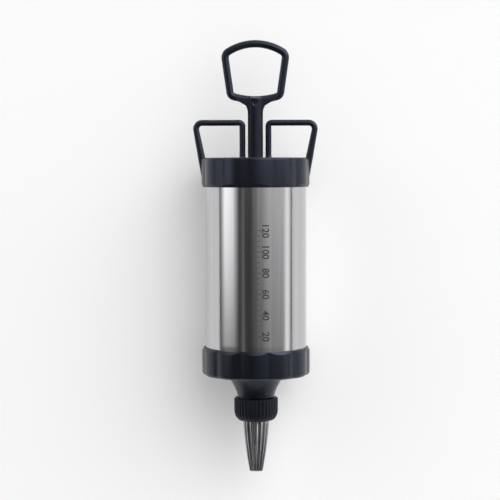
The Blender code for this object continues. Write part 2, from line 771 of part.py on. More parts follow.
def make_bottom_cap(axis):
    """Lobed cap with an inner thread, a funnel, a flared neck and the nut's thread."""
    turn = BOTTOM_CAP_TURN
    rings = [
        circle(cap_valley_radius, bottom_cap_rim),
        crescent_ring(bottom_cap_rim, -1, turn),
    ]
    for step in range(BOTTOM_EDGE_STEPS + 1):
        angle = math.pi / 2 * step / BOTTOM_EDGE_STEPS
        inset = BOTTOM_EDGE_RADIUS * (1 - math.cos(angle))
        along = bottom_cap_foot + BOTTOM_EDGE_RADIUS * (1 - math.sin(angle))
        rings.append(lobe_ring(along, turn, inset))
    for step in range(FLARE_STEPS + 1):
        share = step / FLARE_STEPS
        spread = (1 - share ** FLARE_HOLLOW) ** (1 / FLARE_HOLLOW)
        radius = NECK_RADIUS + (FLARE_RADIUS - NECK_RADIUS) * spread
        rings.append(circle(radius, bottom_cap_foot - FLARE_HEIGHT * share))
    rings.append(circle(NECK_RADIUS, neck_shoulder))
    thread_high = neck_shoulder
    thread_low = neck_foot + NECK_END_CHAMFER
    neck_rings = thread_rings(neck_thread_root, NECK_THREAD_DEPTH, thread_low, thread_high,
                              NECK_THREAD_PITCH, thread_low, thread_high, NECK_THREAD_FADE)
    rings += list(reversed(neck_rings))
    funnel_foot = bottom_floor - FUNNEL_DEPTH
    rings += [
        circle(neck_thread_root - NECK_END_CHAMFER, neck_foot),
        circle(NECK_BORE_RADIUS, neck_foot),
        circle(NECK_BORE_RADIUS, funnel_foot),
        circle(FUNNEL_RADIUS, bottom_floor),
        circle(cap_bore, bottom_floor),
    ]
    ridge_low = barrel_foot + CAP_THREAD_LEAD
    ridge_high = cap_thread_top
    rings += thread_rings(cap_bore, -CAP_THREAD_DEPTH, ridge_low, ridge_high,
                          CAP_THREAD_PITCH, ridge_low, ridge_high, CAP_THREAD_FADE)
    rings.append(circle(cap_bore, bottom_cap_rim))
    columns = LOBE_COUNT * LOBE_COLUMNS
    first = turn - math.pi / LOBE_COUNT
    mesh = ring_solid("bottom_cap", rings, columns, first)
    return place("bottom_cap", mesh, axis, bottom_cap_foot, black_plastic("bottom_cap_plastic"))


def flute_ring(radius, along, depth):
    """Ring with the nut's fine flutes."""
    def ring(angle):
        return radius - depth * (0.5 - 0.5 * math.cos(NUT_FLUTES * angle)), along
    return ring


def make_nozzle_nut(axis):
    """Fluted nut whose ledge holds the nozzle's flange against the neck."""
    rings = [circle(NUT_FOOT_RADIUS, nut_foot)]
    for step in range(1, NUT_SHOULDER_STEPS + 1):
        angle = math.pi / 2 * step / NUT_SHOULDER_STEPS
        radius = NUT_FOOT_RADIUS + (NUT_RADIUS - NUT_FOOT_RADIUS) * math.sin(angle)
        along = nut_foot + NUT_SHOULDER_HEIGHT * (1 - math.cos(angle))
        rings.append(flute_ring(radius, along, NUT_FLUTE_DEPTH * math.sin(angle)))
    rings += [
        flute_ring(NUT_RADIUS, nut_top - NUT_TOP_BEVEL, NUT_FLUTE_DEPTH),
        circle(NUT_RADIUS - NUT_TOP_BEVEL, nut_top),
    ]
    thread_low = neck_foot + NECK_THREAD_PITCH / 2
    groove_rings = thread_rings(neck_thread_root + TOUCH_GAP, NECK_THREAD_DEPTH, thread_low, nut_top,
                                NECK_THREAD_PITCH, thread_low - NECK_THREAD_PITCH,
                                nut_top + NECK_THREAD_PITCH, NECK_THREAD_FADE)
    rings += list(reversed(groove_rings))
    ledge = nut_foot + NUT_LEDGE_THICKNESS
    hole_radius = nozzle_outer_radius(ledge) + TOUCH_GAP
    rings += [
        circle(nut_bore, thread_low - NECK_END_CHAMFER),
        circle(nut_bore, ledge),
        circle(hole_radius, ledge),
        circle(hole_radius, nut_foot),
    ]
    mesh = ring_solid("nozzle_nut", rings, 2 * NUT_FLUTES)
    return place("nozzle_nut", mesh, axis, nut_foot, black_plastic("nozzle_nut_plastic"))


def nozzle_outer_radius(along):
    """Radius over the ridges of the nozzle, a cone that swells towards the nut."""
    share = min((along - nozzle_tip) / NOZZLE_VISIBLE_LENGTH, 1.0)
    swell = 1 - (1 - share) ** NOZZLE_BULGE
    return NOZZLE_TIP_RADIUS + (NOZZLE_ROOT_RADIUS - NOZZLE_TIP_RADIUS) * swell


def nozzle_ring(along, inset, depth, tooth=0.0):
    """Ring with the nozzle's flutes, whose valleys stand back from the tip by the tooth."""
    def ring(angle):
        valley = 0.5 - 0.5 * math.cos(NOZZLE_FLUTES * angle)
        return nozzle_outer_radius(along) - inset - depth * valley, along + tooth * valley
    return ring


def nozzle_skin(inset):
    """Fluted rings from the nozzle's tip to the nut, at an inset from the outside."""
    rings = [nozzle_ring(nozzle_tip, inset, NOZZLE_FLUTE_DEPTH, NOZZLE_TOOTH_HEIGHT)]
    for step in range(1, NOZZLE_STEPS + 1):
        along = nozzle_tip + NOZZLE_VISIBLE_LENGTH * step / NOZZLE_STEPS
        rings.append(nozzle_ring(along, inset, NOZZLE_FLUTE_DEPTH))
    return rings


def make_nozzle(axis):
    """Fluted steel cone with a flat flange inside the nut."""
    flange_radius = nut_bore - TOUCH_GAP
    cone_top = nozzle_flange_foot
    rings = nozzle_skin(0.0)
    rings += [
        nozzle_ring(cone_top, 0.0, 0.0),
        circle(flange_radius, cone_top),
        circle(flange_radius, nozzle_flange_top),
        nozzle_ring(nozzle_flange_top, NOZZLE_WALL, 0.0),
    ]
    rings += list(reversed(nozzle_skin(NOZZLE_WALL)))
    mesh = ring_solid("nozzle", rings, NOZZLE_FLUTES * NOZZLE_FLUTE_COLUMNS)
    return place("nozzle", mesh, axis, nozzle_flange_foot, steel("nozzle_steel"))


def make_injector():
    clear_scene()
    axis = bpy.data.objects.new("injector_axis", None)
    bpy.context.collection.objects.link(axis)
    axis.location = (0.0, 0.0, axis_height)
    makers = (
        make_barrel, make_top_cap, make_plunger_rod, make_upper_plate, make_seal,
        make_lower_plate, make_piston_screw, make_gasket, make_bottom_cap,
        make_nozzle_nut, make_nozzle,
    )
    for maker in makers:
        maker(axis)


make_injector()
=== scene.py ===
"""Looks of the donut filling injector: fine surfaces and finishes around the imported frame.

Each CAD node is replaced by a finer piece of the same size in the same place. Pieces are modelled
around the long axis, which runs along Y, and are then lifted to the height of that axis. Angles
around it are measured from +Z towards +X.
"""

import math

import bmesh
import bpy
from mathutils import Matrix, Vector


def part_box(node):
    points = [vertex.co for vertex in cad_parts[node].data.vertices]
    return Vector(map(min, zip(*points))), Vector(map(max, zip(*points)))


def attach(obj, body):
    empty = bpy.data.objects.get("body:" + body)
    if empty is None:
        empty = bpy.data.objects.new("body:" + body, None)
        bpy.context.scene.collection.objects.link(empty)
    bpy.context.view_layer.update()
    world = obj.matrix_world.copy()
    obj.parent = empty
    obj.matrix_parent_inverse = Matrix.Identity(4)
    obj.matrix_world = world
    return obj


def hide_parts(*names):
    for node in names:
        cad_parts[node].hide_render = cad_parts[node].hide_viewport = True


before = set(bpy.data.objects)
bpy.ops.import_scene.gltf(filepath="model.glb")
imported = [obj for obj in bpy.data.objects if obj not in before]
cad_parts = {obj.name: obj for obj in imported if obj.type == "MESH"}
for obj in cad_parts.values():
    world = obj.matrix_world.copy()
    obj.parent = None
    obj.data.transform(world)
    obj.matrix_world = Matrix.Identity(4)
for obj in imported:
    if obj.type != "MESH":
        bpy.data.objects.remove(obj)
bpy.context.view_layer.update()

MM = 0.001

# Clearances, as in the solids
TOUCH_GAP = 0.3 * MM
GUIDE_GAP = 0.35 * MM
RUNNING_GAP = 0.5 * MM
CUT_OVERRUN = 1.0 * MM
MERGE_DISTANCE = 0.00001

# Barrel
BARREL_WALL = 0.6 * MM
BARREL_COLUMNS = 240
BARREL_ROW = 6.0 * MM
BARREL_EDGE = 0.2 * MM

# Lobed caps
LOBE_COUNT = 12
LOBE_HALF_ANGLE = math.pi / LOBE_COUNT
LOBE_COLUMNS = 24
CAP_COLUMNS = LOBE_COUNT * LOBE_COLUMNS
LOBE_DEPTH = 0.7 * MM
CREASE_SHARE = 0.03
CAP_WALL = 1.34 * MM
CRESCENT_HEIGHT = 1.5 * MM
RIM_EDGE = 0.15 * MM
TOP_CAP_TURN = math.radians(3.0)
BOTTOM_CAP_TURN = math.radians(-1.5)
CAP_CREASE = math.radians(14.0)

# Top cap
TOP_PLATE_THICKNESS = 2.4 * MM
TOP_EDGE_RADIUS = 1.1 * MM
TOP_EDGE_STEPS = 7
LUG_COUNT = 3
LUG_HALF_ANGLE = math.radians(3.5)
LUG_HEIGHT = 2.4 * MM
LUG_DEPTH_BELOW_EDGE = 4.3 * MM
LUG_BORE_RELIEF = 0.1 * MM
LUG_ROOT_DEPTH = CAP_WALL / 4
LOCK_TURN = math.radians(50.0)
LOCKED_ANGLE = math.radians(20.0)
SECTOR_STEP = math.radians(1.5)

# Finger loops
FINGER_BAR_RADIUS = 1.5 * MM
FINGER_ROOT_RADIUS = 1.8 * MM
FINGER_LOOP_REACH = 31.75 * MM
FINGER_LEG_GAP = 1.25 * MM
FINGER_LEG_TOP_INSET = 0.1 * MM
FINGER_LEG_ROOT_INSET = 2.65 * MM
FINGER_LEG_ROOT_HEIGHT = 0.5 * MM
FINGER_INNER_CORNER_RADIUS = 1.7 * MM
FINGER_OUTER_CORNER_RADIUS = 3.0 * MM
FINGER_FOOT_FILLET = 0.8 * MM

# Plunger rod
STEM_WIDTH = 7.5 * MM
FRONT_RIB_WIDTH = 5.0 * MM
FRONT_RIB_CROWN = 0.5 * MM
CROWN_SHARES = (1.0, 0.5, 0.0, -0.5, -1.0)
SIDE_RIB_THICKNESS = 2.0 * MM
STEM_ROW = 6.0 * MM
THUMB_LOOP_HEIGHT = 34.6 * MM
ROD_BOSS_LENGTH = 9.0 * MM
THUMB_BAR_RADIUS = 1.85 * MM
THUMB_LOOP_HALF_WIDTH = 17.15 * MM
THUMB_SIDE_LEAN = 2.9 * MM
THUMB_ARCH_RADIUS = 25.0 * MM
THUMB_TOP_CORNER_RADIUS = 3.6 * MM
THUMB_FOOT_CORNER_RADIUS = 2.6 * MM
THUMB_FOOT_RISE = 2.0 * MM
# Places on the dished foot, as shares of the way from its middle to its corner
THUMB_FOOT_SHARES = (0.15, 0.3, 0.45, 0.6, 0.75)
THROAT_HEIGHT = 4.95 * MM
# Right edge of the throat: shares of the way out from the stem's side to the loop's foot
# corner, and of the throat's height
THROAT_EDGE_SHARES = ((0.0, -0.35), (0.02, 0.0), (0.12, 0.42), (0.40, 0.72), (0.88, 1.15))
DIMPLE_RADIUS = 1.65 * MM
DIMPLE_DEPTH = 0.35 * MM
DIMPLE_HEIGHT = 3.4 * MM
DIMPLE_WALL = 0.45 * MM
HANDLE_VOXEL = 0.25 * MM
HANDLE_SMOOTHING = 7
HANDLE_STUB = 6.0 * MM
STEM_END_RISE = 1.4 * MM
HANDLE_CUT = 4.0 * MM
HANDLE_GROWTH = 0.03 * MM

# Piston
PLATE_UPPER_THICKNESS = 2.5 * MM
PLATE_EDGE_CHAMFER = 3.0 * MM
PLATE_EDGE = 0.3 * MM
SEAL_LIP_HEIGHT = 0.7 * MM
SEAL_LIP_DEPTH = 0.9 * MM
SEAL_LIP_BEVEL = 0.5 * MM
SEAL_EDGE = 0.2 * MM
SEAL_HUB_RADIUS = 8.0 * MM
SOCKET_FLOOR = 1.5 * MM
SOCKET_WALL = 2.4 * MM
SCREW_RADIUS = 1.9 * MM
SCREW_HEAD_RADIUS = 3.6 * MM
SCREW_HEAD_HEIGHT = 2.0 * MM
SCREW_HEAD_EDGE = 0.7 * MM
SCREW_POINT_LENGTH = 1.5 * MM
SCREW_THREAD_PITCH = 1.2 * MM
SCREW_THREAD_DEPTH = 0.35 * MM
SCREW_PLAIN_SHANK = 1.0 * MM
DRIVE_SLOT_WIDTH = 0.9 * MM
DRIVE_SLOT_LENGTH = 4.0 * MM
DRIVE_SLOT_DEPTH = 1.2 * MM
PLATE_COLUMNS = 144
SCREW_COLUMNS = 64

# Threads
CAP_THREAD_PITCH = 3.0 * MM
CAP_THREAD_TURNS = 2.0
CAP_THREAD_DEPTH = 0.5 * MM
CAP_THREAD_LEAD = 0.8 * MM
CAP_THREAD_FADE = 1.0 * MM
NECK_THREAD_RADIUS = 8.7 * MM
NECK_THREAD_PITCH = 2.5 * MM
NECK_THREAD_DEPTH = 0.5 * MM
NECK_THREAD_FADE = 0.8 * MM
NECK_END_CHAMFER = 0.4 * MM
THREAD_ROWS_PER_TURN = 12

# Bottom cap and gasket
BOTTOM_CAP_HEIGHT = 14.1 * MM
BOTTOM_FLOOR_THICKNESS = 2.6 * MM
BOTTOM_EDGE_RADIUS = 2.0 * MM
BOTTOM_EDGE_STEPS = 9
FUNNEL_RADIUS = 12.5 * MM
FUNNEL_DEPTH = 10.0 * MM
NECK_RADIUS = 9.3 * MM
NECK_BORE_RADIUS = 6.4 * MM
FLARE_RADIUS = 15.0 * MM
FLARE_HEIGHT = 10.5 * MM
FLARE_HOLLOW = 0.8
FLARE_STEPS = 28
NECK_EDGE = 0.3 * MM
GASKET_WIDTH = 2.6 * MM
GASKET_EDGE = 0.3 * MM

# Nozzle nut
NUT_RADIUS = 11.0 * MM
NUT_FLUTES = 36
NUT_FLUTE_COLUMNS = 10
NUT_FLUTE_DEPTH = 0.35 * MM
NUT_FOOT_RADIUS = 7.4 * MM
NUT_SHOULDER_HEIGHT = 5.4 * MM
NUT_SHOULDER_STEPS = 12
NUT_TOP_BEVEL = 0.7 * MM
NUT_TOP_STEPS = 4
NUT_LEDGE_THICKNESS = 1.8 * MM
NUT_CREASE = math.radians(40.0)

# Nozzle
NOZZLE_TIP_RADIUS = 3.25 * MM
NOZZLE_ROOT_RADIUS = 6.5 * MM
NOZZLE_BULGE = 1.5
NOZZLE_FLUTES = 16
NOZZLE_FLUTE_COLUMNS = 16
NOZZLE_FLUTE_DEPTH = 0.5 * MM
NOZZLE_WALL = 0.5 * MM
NOZZLE_TOOTH_HEIGHT = 0.5 * MM
NOZZLE_FLANGE_THICKNESS = 1.0 * MM
NOZZLE_ROWS = 12

# Etched scale on the barrel: one line for each 5 millilitres, and a number for each 20
SCALE_START = 20
SCALE_STOP = 120
SCALE_STEP = 5
SCALE_NUMBER_STEP = 20
SCALE_FOOT_ABOVE_RIM = 7.5 * MM
MILLILITRE = 0.000001
TICK_LEFT = 0.7 * MM
TICK_SHORT = 1.1 * MM
TICK_LONG = 1.9 * MM
TICK_WIDTH = 0.32 * MM
DIGIT_HEIGHT = 3.5 * MM
DIGIT_GAP = 0.55 * MM
DIGIT_BOLD = 0.1 * MM
FONT_HEIGHT_SHARE = 0.73
MARK_PROUD = 0.02 * MM
MARK_SUNK = 0.05 * MM
WRAP_STEP = 0.4 * MM

# Facets
BAR_SIDES = 28
CORNER_STEPS = 10
EDGE_STEPS = 4
ARCH_STEPS = 40
SMOOTH_LIMIT = math.radians(30.0)


# Stations along the axis and radii, from the frame

def span(node):
    """Where a node starts and ends along the axis."""
    low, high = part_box(node)
    return low.y, high.y


barrel_low, barrel_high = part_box("barrel")
axis_height = (barrel_low.z + barrel_high.z) / 2
barrel_radius = (barrel_high.x - barrel_low.x) / 2
barrel_foot, barrel_top = span("barrel")
barrel_bore = barrel_radius - BARREL_WALL
cap_thread_length = CAP_THREAD_TURNS * CAP_THREAD_PITCH
cap_thread_top = barrel_foot + cap_thread_length
lug_top = barrel_top - LUG_DEPTH_BELOW_EDGE
locked_angles = [LOCKED_ANGLE + 2 * math.pi * number / LUG_COUNT for number in range(LUG_COUNT)]

top_cap_rim, finger_loop_top = span("top_cap")
top_plate_underside = barrel_top + TOUCH_GAP
top_cap_top = top_plate_underside + TOP_PLATE_THICKNESS
cap_bore = barrel_radius + TOUCH_GAP
cap_crest_radius = cap_bore + CAP_WALL
cap_valley_radius = cap_crest_radius - LOBE_DEPTH

rod_foot, thumb_loop_top = span("plunger_rod")
thumb_loop_foot = thumb_loop_top - THUMB_LOOP_HEIGHT
rod_boss_radius = STEM_WIDTH / 2

neck_foot, bottom_cap_rim = span("bottom_cap")
bottom_cap_foot = bottom_cap_rim - BOTTOM_CAP_HEIGHT
bottom_floor = bottom_cap_foot + BOTTOM_FLOOR_THICKNESS
neck_thread_root = NECK_THREAD_RADIUS - NECK_THREAD_DEPTH

nut_foot, nut_top = span("nozzle_nut")
nut_bore = NECK_THREAD_RADIUS + TOUCH_GAP
neck_shoulder = nut_top + TOUCH_GAP

nozzle_tip, nozzle_flange_top = span("nozzle")
nozzle_flange_foot = nozzle_flange_top - NOZZLE_FLANGE_THICKNESS

plate_radius = barrel_bore - CAP_THREAD_DEPTH - RUNNING_GAP
seal_radius = barrel_bore - TOUCH_GAP
screw_hole_radius = SCREW_RADIUS + TOUCH_GAP
screw_recess_radius = SCREW_HEAD_RADIUS + TOUCH_GAP


# Numbers and points

def clamped(share):
    return min(max(share, 0.0), 1.0)


def smoothed(share):
    """A share with a soft start and a soft end."""
    return share * share * (3 - 2 * share)


def mirrored(points):
    """Points on the left for those on the right, in the order that carries the outline on."""
    return [Vector((-point.x, point.y)) for point in reversed(points)]


def quarter(steps):
    """Shares of a quarter turn: the sine and cosine at each step."""
    turns = [math.pi / 2 * step / steps for step in range(steps + 1)]
    return [(math.sin(turn), math.cos(turn)) for turn in turns]


# Meshes

def finished_mesh(name, shape):
    bmesh.ops.remove_doubles(shape, verts=shape.verts, dist=MERGE_DISTANCE)
    bmesh.ops.recalc_face_normals(shape, faces=shape.faces)
    mesh = bpy.data.meshes.new(name)
    shape.to_mesh(mesh)
    shape.free()
    return mesh


def bridge(shape, row, following):
    """Faces between two closed rows of points."""
    for index, point in enumerate(row):
        beside = (index + 1) % len(row)
        shape.faces.new((point, row[beside], following[beside], following[index]))


def skin(name, sections, ends):
    """Surface through sections of points in the same order, with joined, capped or open ends."""
    shape = bmesh.new()
    rows = [[shape.verts.new(point) for point in section] for section in sections]
    for row, following in zip(rows, rows[1:]):
        bridge(shape, row, following)
    if ends == "joined":
        bridge(shape, rows[-1], rows[0])
    elif ends == "capped":
        shape.faces.new(rows[0])
        shape.faces.new(list(reversed(rows[-1])))
    return finished_mesh(name, shape)


def loft(name, sections):
    return skin(name, sections, "capped")


def all_parts(shape):
    return list(shape.verts) + list(shape.edges) + list(shape.faces)


def circle(radius, along):
    return lambda angle: (radius, along)


def circles(profile):
    return [circle(point.x, point.y) for point in profile]


def turned(name, rings, columns, first_angle=0.0, closed=True):
    """Solid through rings around the axis; a ring gives a radius and a station for an angle."""
    angles = [first_angle + 2 * math.pi * column / columns for column in range(columns)]
    sections = []
    for ring in rings:
        places = [(angle, *ring(angle)) for angle in angles]
        sections.append([(radius * math.sin(angle), along, radius * math.cos(angle))
                         for angle, radius, along in places])
    return skin(name, sections, "joined" if closed else "open")


def cylinder(name, radius, low, high, columns):
    """Plain round solid on the axis."""
    profile = [Vector(place) for place in ((0.0, low), (radius, low), (radius, high), (0.0, high))]
    return turned(name, circles(profile), columns, closed=False)


def fillet(before, corner, after, radius, steps=CORNER_STEPS):
    """Points of a round corner, from the line that comes in to the line that goes out."""
    incoming = (before - corner).normalized()
    outgoing = (after - corner).normalized()
    half = incoming.angle(outgoing) / 2
    centre = corner + (incoming + outgoing).normalized() * (radius / math.sin(half))
    start = corner + incoming * (radius / math.tan(half)) - centre
    end = corner + outgoing * (radius / math.tan(half)) - centre
    points = []
    for step in range(steps + 1):
        blend = start.slerp(end, step / steps)
        points.append(centre + blend.normalized() * radius)
    return points


def rounded(corners):
    """Closed outline of corners (x, y, radius), each rounded by its radius."""
    points = []
    count = len(corners)
    for index, (x, y, radius) in enumerate(corners):
        corner = Vector((x, y))
        if radius:
            before = Vector(corners[index - 1][:2])
            after = Vector(corners[(index + 1) % count][:2])
            points += fillet(before, corner, after, radius, EDGE_STEPS)
        else:
            points.append(corner)
    return points


def turned_disc(name, corners):
    """Disc or ring whose outline has corners (radius, station, rounding)."""
    return turned(name, circles(rounded(corners)), PLATE_COLUMNS)


def straight(start, end, step):
    """Points between two ends, without the ends."""
    count = max(1, round((end - start).length / step))
    return [start.lerp(end, index / count) for index in range(1, count)]


def swept_bar(name, path, radii, closed):
    """Round bar along a flat path of (x, y) points, with a radius at each point."""
    first, last = (path[-1], path[0]) if closed else (path[0], path[-1])
    line = [first] + path + [last]
    sections = []
    for before, point, after, radius in zip(line, path, line[2:], radii):
        tangent = (after - before).normalized()
        section = []
        for side in range(BAR_SIDES):
            angle = 2 * math.pi * side / BAR_SIDES
            across = radius * math.cos(angle)
            up = radius * math.sin(angle)
            section.append((point.x - tangent.y * across, point.y + tangent.x * across, up))
        sections.append(section)
    return skin(name, sections, "joined" if closed else "capped")


def sector(name, low, high, inner, outer, middle, half_angle):
    """Block between two radii, over an angle either side of the middle one."""
    steps = max(2, round(2 * half_angle / SECTOR_STEP))
    sections = []
    for step in range(steps + 1):
        angle = middle - half_angle + 2 * half_angle * step / steps
        across = Vector((math.sin(angle), 0.0, math.cos(angle)))
        foot = Vector((0.0, low, 0.0))
        head = Vector((0.0, high, 0.0))
        sections.append([
            foot + across * inner, foot + across * outer,
            head + across * outer, head + across * inner,
        ])
    return loft(name, sections)


def evaluated_mesh(item):
    bpy.context.view_layer.update()
    graph = bpy.context.evaluated_depsgraph_get()
    return bpy.data.meshes.new_from_object(item.evaluated_get(graph))


def add_object(name, data):
    item = bpy.data.objects.new(name, data)
    bpy.context.collection.objects.link(item)
    return item


def shaped(mesh, steps):
    """The mesh after boolean steps, each a mesh and an operation."""
    base = add_object("shaping", mesh)
    helpers = [base]
    for other, operation in steps:
        helpers.append(add_object("helper", other))
        modifier = base.modifiers.new("shape", "BOOLEAN")
        modifier.object = helpers[-1]
        modifier.operation = operation
        modifier.solver = "EXACT"
    result = evaluated_mesh(base)
    for helper in helpers:
        bpy.data.objects.remove(helper)
    return result


def joined(name, meshes):
    shape = bmesh.new()
    for mesh in meshes:
        shape.from_mesh(mesh)
    return finished_mesh(name, shape)


def piece(name, mesh, material, body, node=None, crease=SMOOTH_LIMIT):
    """Puts a finished mesh on the axis, gives it its finish and ties it to the frame."""
    mesh.transform(Matrix.Translation((0.0, 0.0, axis_height)))
    mesh.materials.clear()
    mesh.materials.append(material)
    mesh.shade_smooth()
    mesh.set_sharp_from_angle(angle=crease)
    item = add_object(name, mesh)
    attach(item, body)
    if node:
        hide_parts(node)


# Ring shapes

def lobe_share(angle, turn):
    """0 at the middle of a lobe and nearly 1 in the crease, which is slightly rounded."""
    step = 2 * math.pi / LOBE_COUNT
    offset = abs((angle - turn + step / 2) % step - step / 2) / (step / 2)
    return max(0.0, 1 - math.hypot(1 - offset, CREASE_SHARE))


def lobed(along, turn, inset=0.0, crescent=0.0):
    """Lobed ring; a crescent is how far the middle of each lobe stands off along the axis."""
    def ring(angle):
        share = lobe_share(angle, turn) ** 2
        return cap_crest_radius - LOBE_DEPTH * share - inset, along + crescent * (1 - share)
    return ring


def lobed_skin(rim, end, edge_radius, edge_steps, turn):
    """Rings of a lobed cap's outside, from its rim to the rounded edge at its other end."""
    away = 1 if end > rim else -1
    edge = rim + away * RIM_EDGE / 2
    rings = [
        circle(cap_valley_radius - RIM_EDGE, rim),
        circle(cap_valley_radius, edge),
        lobed(edge, turn, crescent=away * CRESCENT_HEIGHT),
    ]
    for sine, cosine in quarter(edge_steps):
        inset = edge_radius * (1 - cosine)
        rings.append(lobed(end - away * edge_radius * (1 - sine), turn, inset))
    return rings


def thread_wave(angle, along, pitch):
    """Right-handed thread: 1 on its crest line and 0 half a pitch away."""
    return 0.5 + 0.5 * math.cos(2 * math.pi * along / pitch - angle)


def fade(along, low, high, length):
    """1 between low and high, falling to 0 over a length inside each end."""
    return clamped(min(along - low, high - along) / length)


def thread_rings(base, height, low, high, pitch, fade_low, fade_high, fade_length):
    """Rings from low to high whose radius is the base plus the height on the thread's crest."""
    count = max(2, round((high - low) / pitch * THREAD_ROWS_PER_TURN))
    rings = []
    for row in range(count + 1):
        along = low + (high - low) * row / count

        def ring(angle, along=along):
            strength = fade(along, fade_low, fade_high, fade_length)
            return base + height * strength * thread_wave(angle, along, pitch), along
        rings.append(ring)
    return rings


# Pieces

def barrel_slots():
    """Cuts of the twist-lock: for each lug, a run round the tube and an entry from its edge."""
    slot_top = lug_top + TOUCH_GAP
    slot_foot = lug_top - LUG_HEIGHT - TOUCH_GAP
    slot_half = LUG_HALF_ANGLE + TOUCH_GAP / barrel_bore
    run_half = LOCK_TURN / 2 + slot_half
    inner = barrel_bore - CUT_OVERRUN
    outer = barrel_radius + CUT_OVERRUN
    cuts = []
    for locked in locked_angles:
        run = sector("run", slot_foot, slot_top, inner, outer, locked + LOCK_TURN / 2, run_half)
        entry = sector("entry", slot_foot, barrel_top + CUT_OVERRUN, inner, outer,
                       locked + LOCK_TURN, slot_half)
        cuts += [(run, "DIFFERENCE"), (entry, "DIFFERENCE")]
    return cuts


def make_barrel():
    """Thin tube with a thread rolled into its lower end and three slots at its upper end."""
    low = barrel_foot
    high = cap_thread_top
    thread = (low, high, CAP_THREAD_PITCH, low - cap_thread_length, high, CAP_THREAD_FADE)
    outside = thread_rings(barrel_radius, -CAP_THREAD_DEPTH, *thread)
    inside = thread_rings(barrel_bore, -CAP_THREAD_DEPTH, *thread)
    rows = round((barrel_top - high) / BARREL_ROW)
    plain = [high + (barrel_top - BARREL_EDGE - high) * row / rows for row in range(1, rows + 1)]
    rings = outside + [circle(barrel_radius, along) for along in plain]
    rings += [
        circle(barrel_radius - BARREL_EDGE, barrel_top),
        circle(barrel_bore + BARREL_EDGE, barrel_top),
    ]
    rings += [circle(barrel_bore, along) for along in reversed(plain)]
    rings += inside[::-1]
    return shaped(turned("barrel_tube", rings, BARREL_COLUMNS), barrel_slots())


def finger_loop(side):
    """One finger loop: a small fillet round its inner foot and an outer leg that thickens."""
    inner_x = STEM_WIDTH / 2 + FINGER_LEG_GAP + FINGER_BAR_RADIUS
    outer_x = FINGER_LOOP_REACH - FINGER_BAR_RADIUS
    bar_y = finger_loop_top - FINGER_BAR_RADIUS
    start = Vector((inner_x, top_cap_top - TOP_PLATE_THICKNESS / 2))
    inner_corner = Vector((inner_x, bar_y))
    outer_corner = Vector((outer_x, bar_y))
    knee = Vector((cap_crest_radius - FINGER_LEG_TOP_INSET, top_cap_top))
    root = Vector((cap_crest_radius - FINGER_LEG_ROOT_INSET, top_cap_rim + FINGER_LEG_ROOT_HEIGHT))
    path = [start] + fillet(start, inner_corner, outer_corner, FINGER_INNER_CORNER_RADIUS)
    outer_fillet = fillet(inner_corner, outer_corner, knee, FINGER_OUTER_CORNER_RADIUS)
    path += outer_fillet + [knee, root]
    fine = []
    for point, following in zip(path, path[1:]):
        fine += [point] + straight(point, following, FINGER_FOOT_FILLET / EDGE_STEPS)
    fine.append(path[-1])
    leg_top = outer_fillet[-1].y
    radii = []
    for index, point in enumerate(fine):
        above = (point.y - top_cap_top) / FINGER_FOOT_FILLET
        if index < len(fine) / 2:
            spread = 1 - math.sqrt(1 - (1 - clamped(above)) ** 2)
            radii.append(FINGER_BAR_RADIUS + FINGER_FOOT_FILLET * spread)
        else:
            down = clamped((leg_top - point.y) / (leg_top - top_cap_top))
            radii.append(FINGER_BAR_RADIUS + (FINGER_ROOT_RADIUS - FINGER_BAR_RADIUS) * down)
    placed = [Vector((side * point.x, point.y)) for point in fine]
    return swept_bar("finger_loop", placed, radii, closed=False)


def cross_section(along, grow=0.0, depth_scale=1.0):
    """Plus-shaped section of the ribbed stem with crowned ribs, as points at a station."""
    wide = STEM_WIDTH / 2 + grow
    rib = FRONT_RIB_WIDTH / 2 + grow
    thick = SIDE_RIB_THICKNESS / 2 + grow
    tall = wide * depth_scale
    crown = [(rib * share, tall - FRONT_RIB_CROWN * share * share) for share in CROWN_SHARES]
    half = [(wide, thick), (rib, thick)] + crown + [(-rib, thick), (-wide, thick)]
    outline = half + [(-x, -z) for x, z in half]
    return [(x, along, z) for x, z in outline]


def make_top_cap():
    """Lobed cap with finger loops, a guide hole for the stem and three locking lugs."""
    rings = [circle(0.0, top_cap_rim)]
    rings += lobed_skin(top_cap_rim, top_cap_top, TOP_EDGE_RADIUS, TOP_EDGE_STEPS, TOP_CAP_TURN)
    rings += [circle(cap_valley_radius / 2, top_cap_top), circle(0.0, top_cap_top)]
    first = TOP_CAP_TURN - LOBE_HALF_ANGLE
    body = turned("top_cap_moulding", rings, CAP_COLUMNS, first, closed=False)

    bore = cylinder("bore", cap_bore, top_cap_rim - CUT_OVERRUN, top_plate_underside, CAP_COLUMNS)
    steps = [(finger_loop(side), "UNION") for side in (-1, 1)] + [(bore, "DIFFERENCE")]
    for middle in locked_angles:
        lug = sector("lug", lug_top - LUG_HEIGHT, lug_top, barrel_bore + LUG_BORE_RELIEF,
                     cap_bore + LUG_ROOT_DEPTH, middle, LUG_HALF_ANGLE)
        steps.append((lug, "UNION"))
    guide = loft("guide", [
        cross_section(top_plate_underside - CUT_OVERRUN, GUIDE_GAP),
        cross_section(top_cap_top + CUT_OVERRUN, GUIDE_GAP),
    ])
    return shaped(body, steps + [(guide, "DIFFERENCE")])


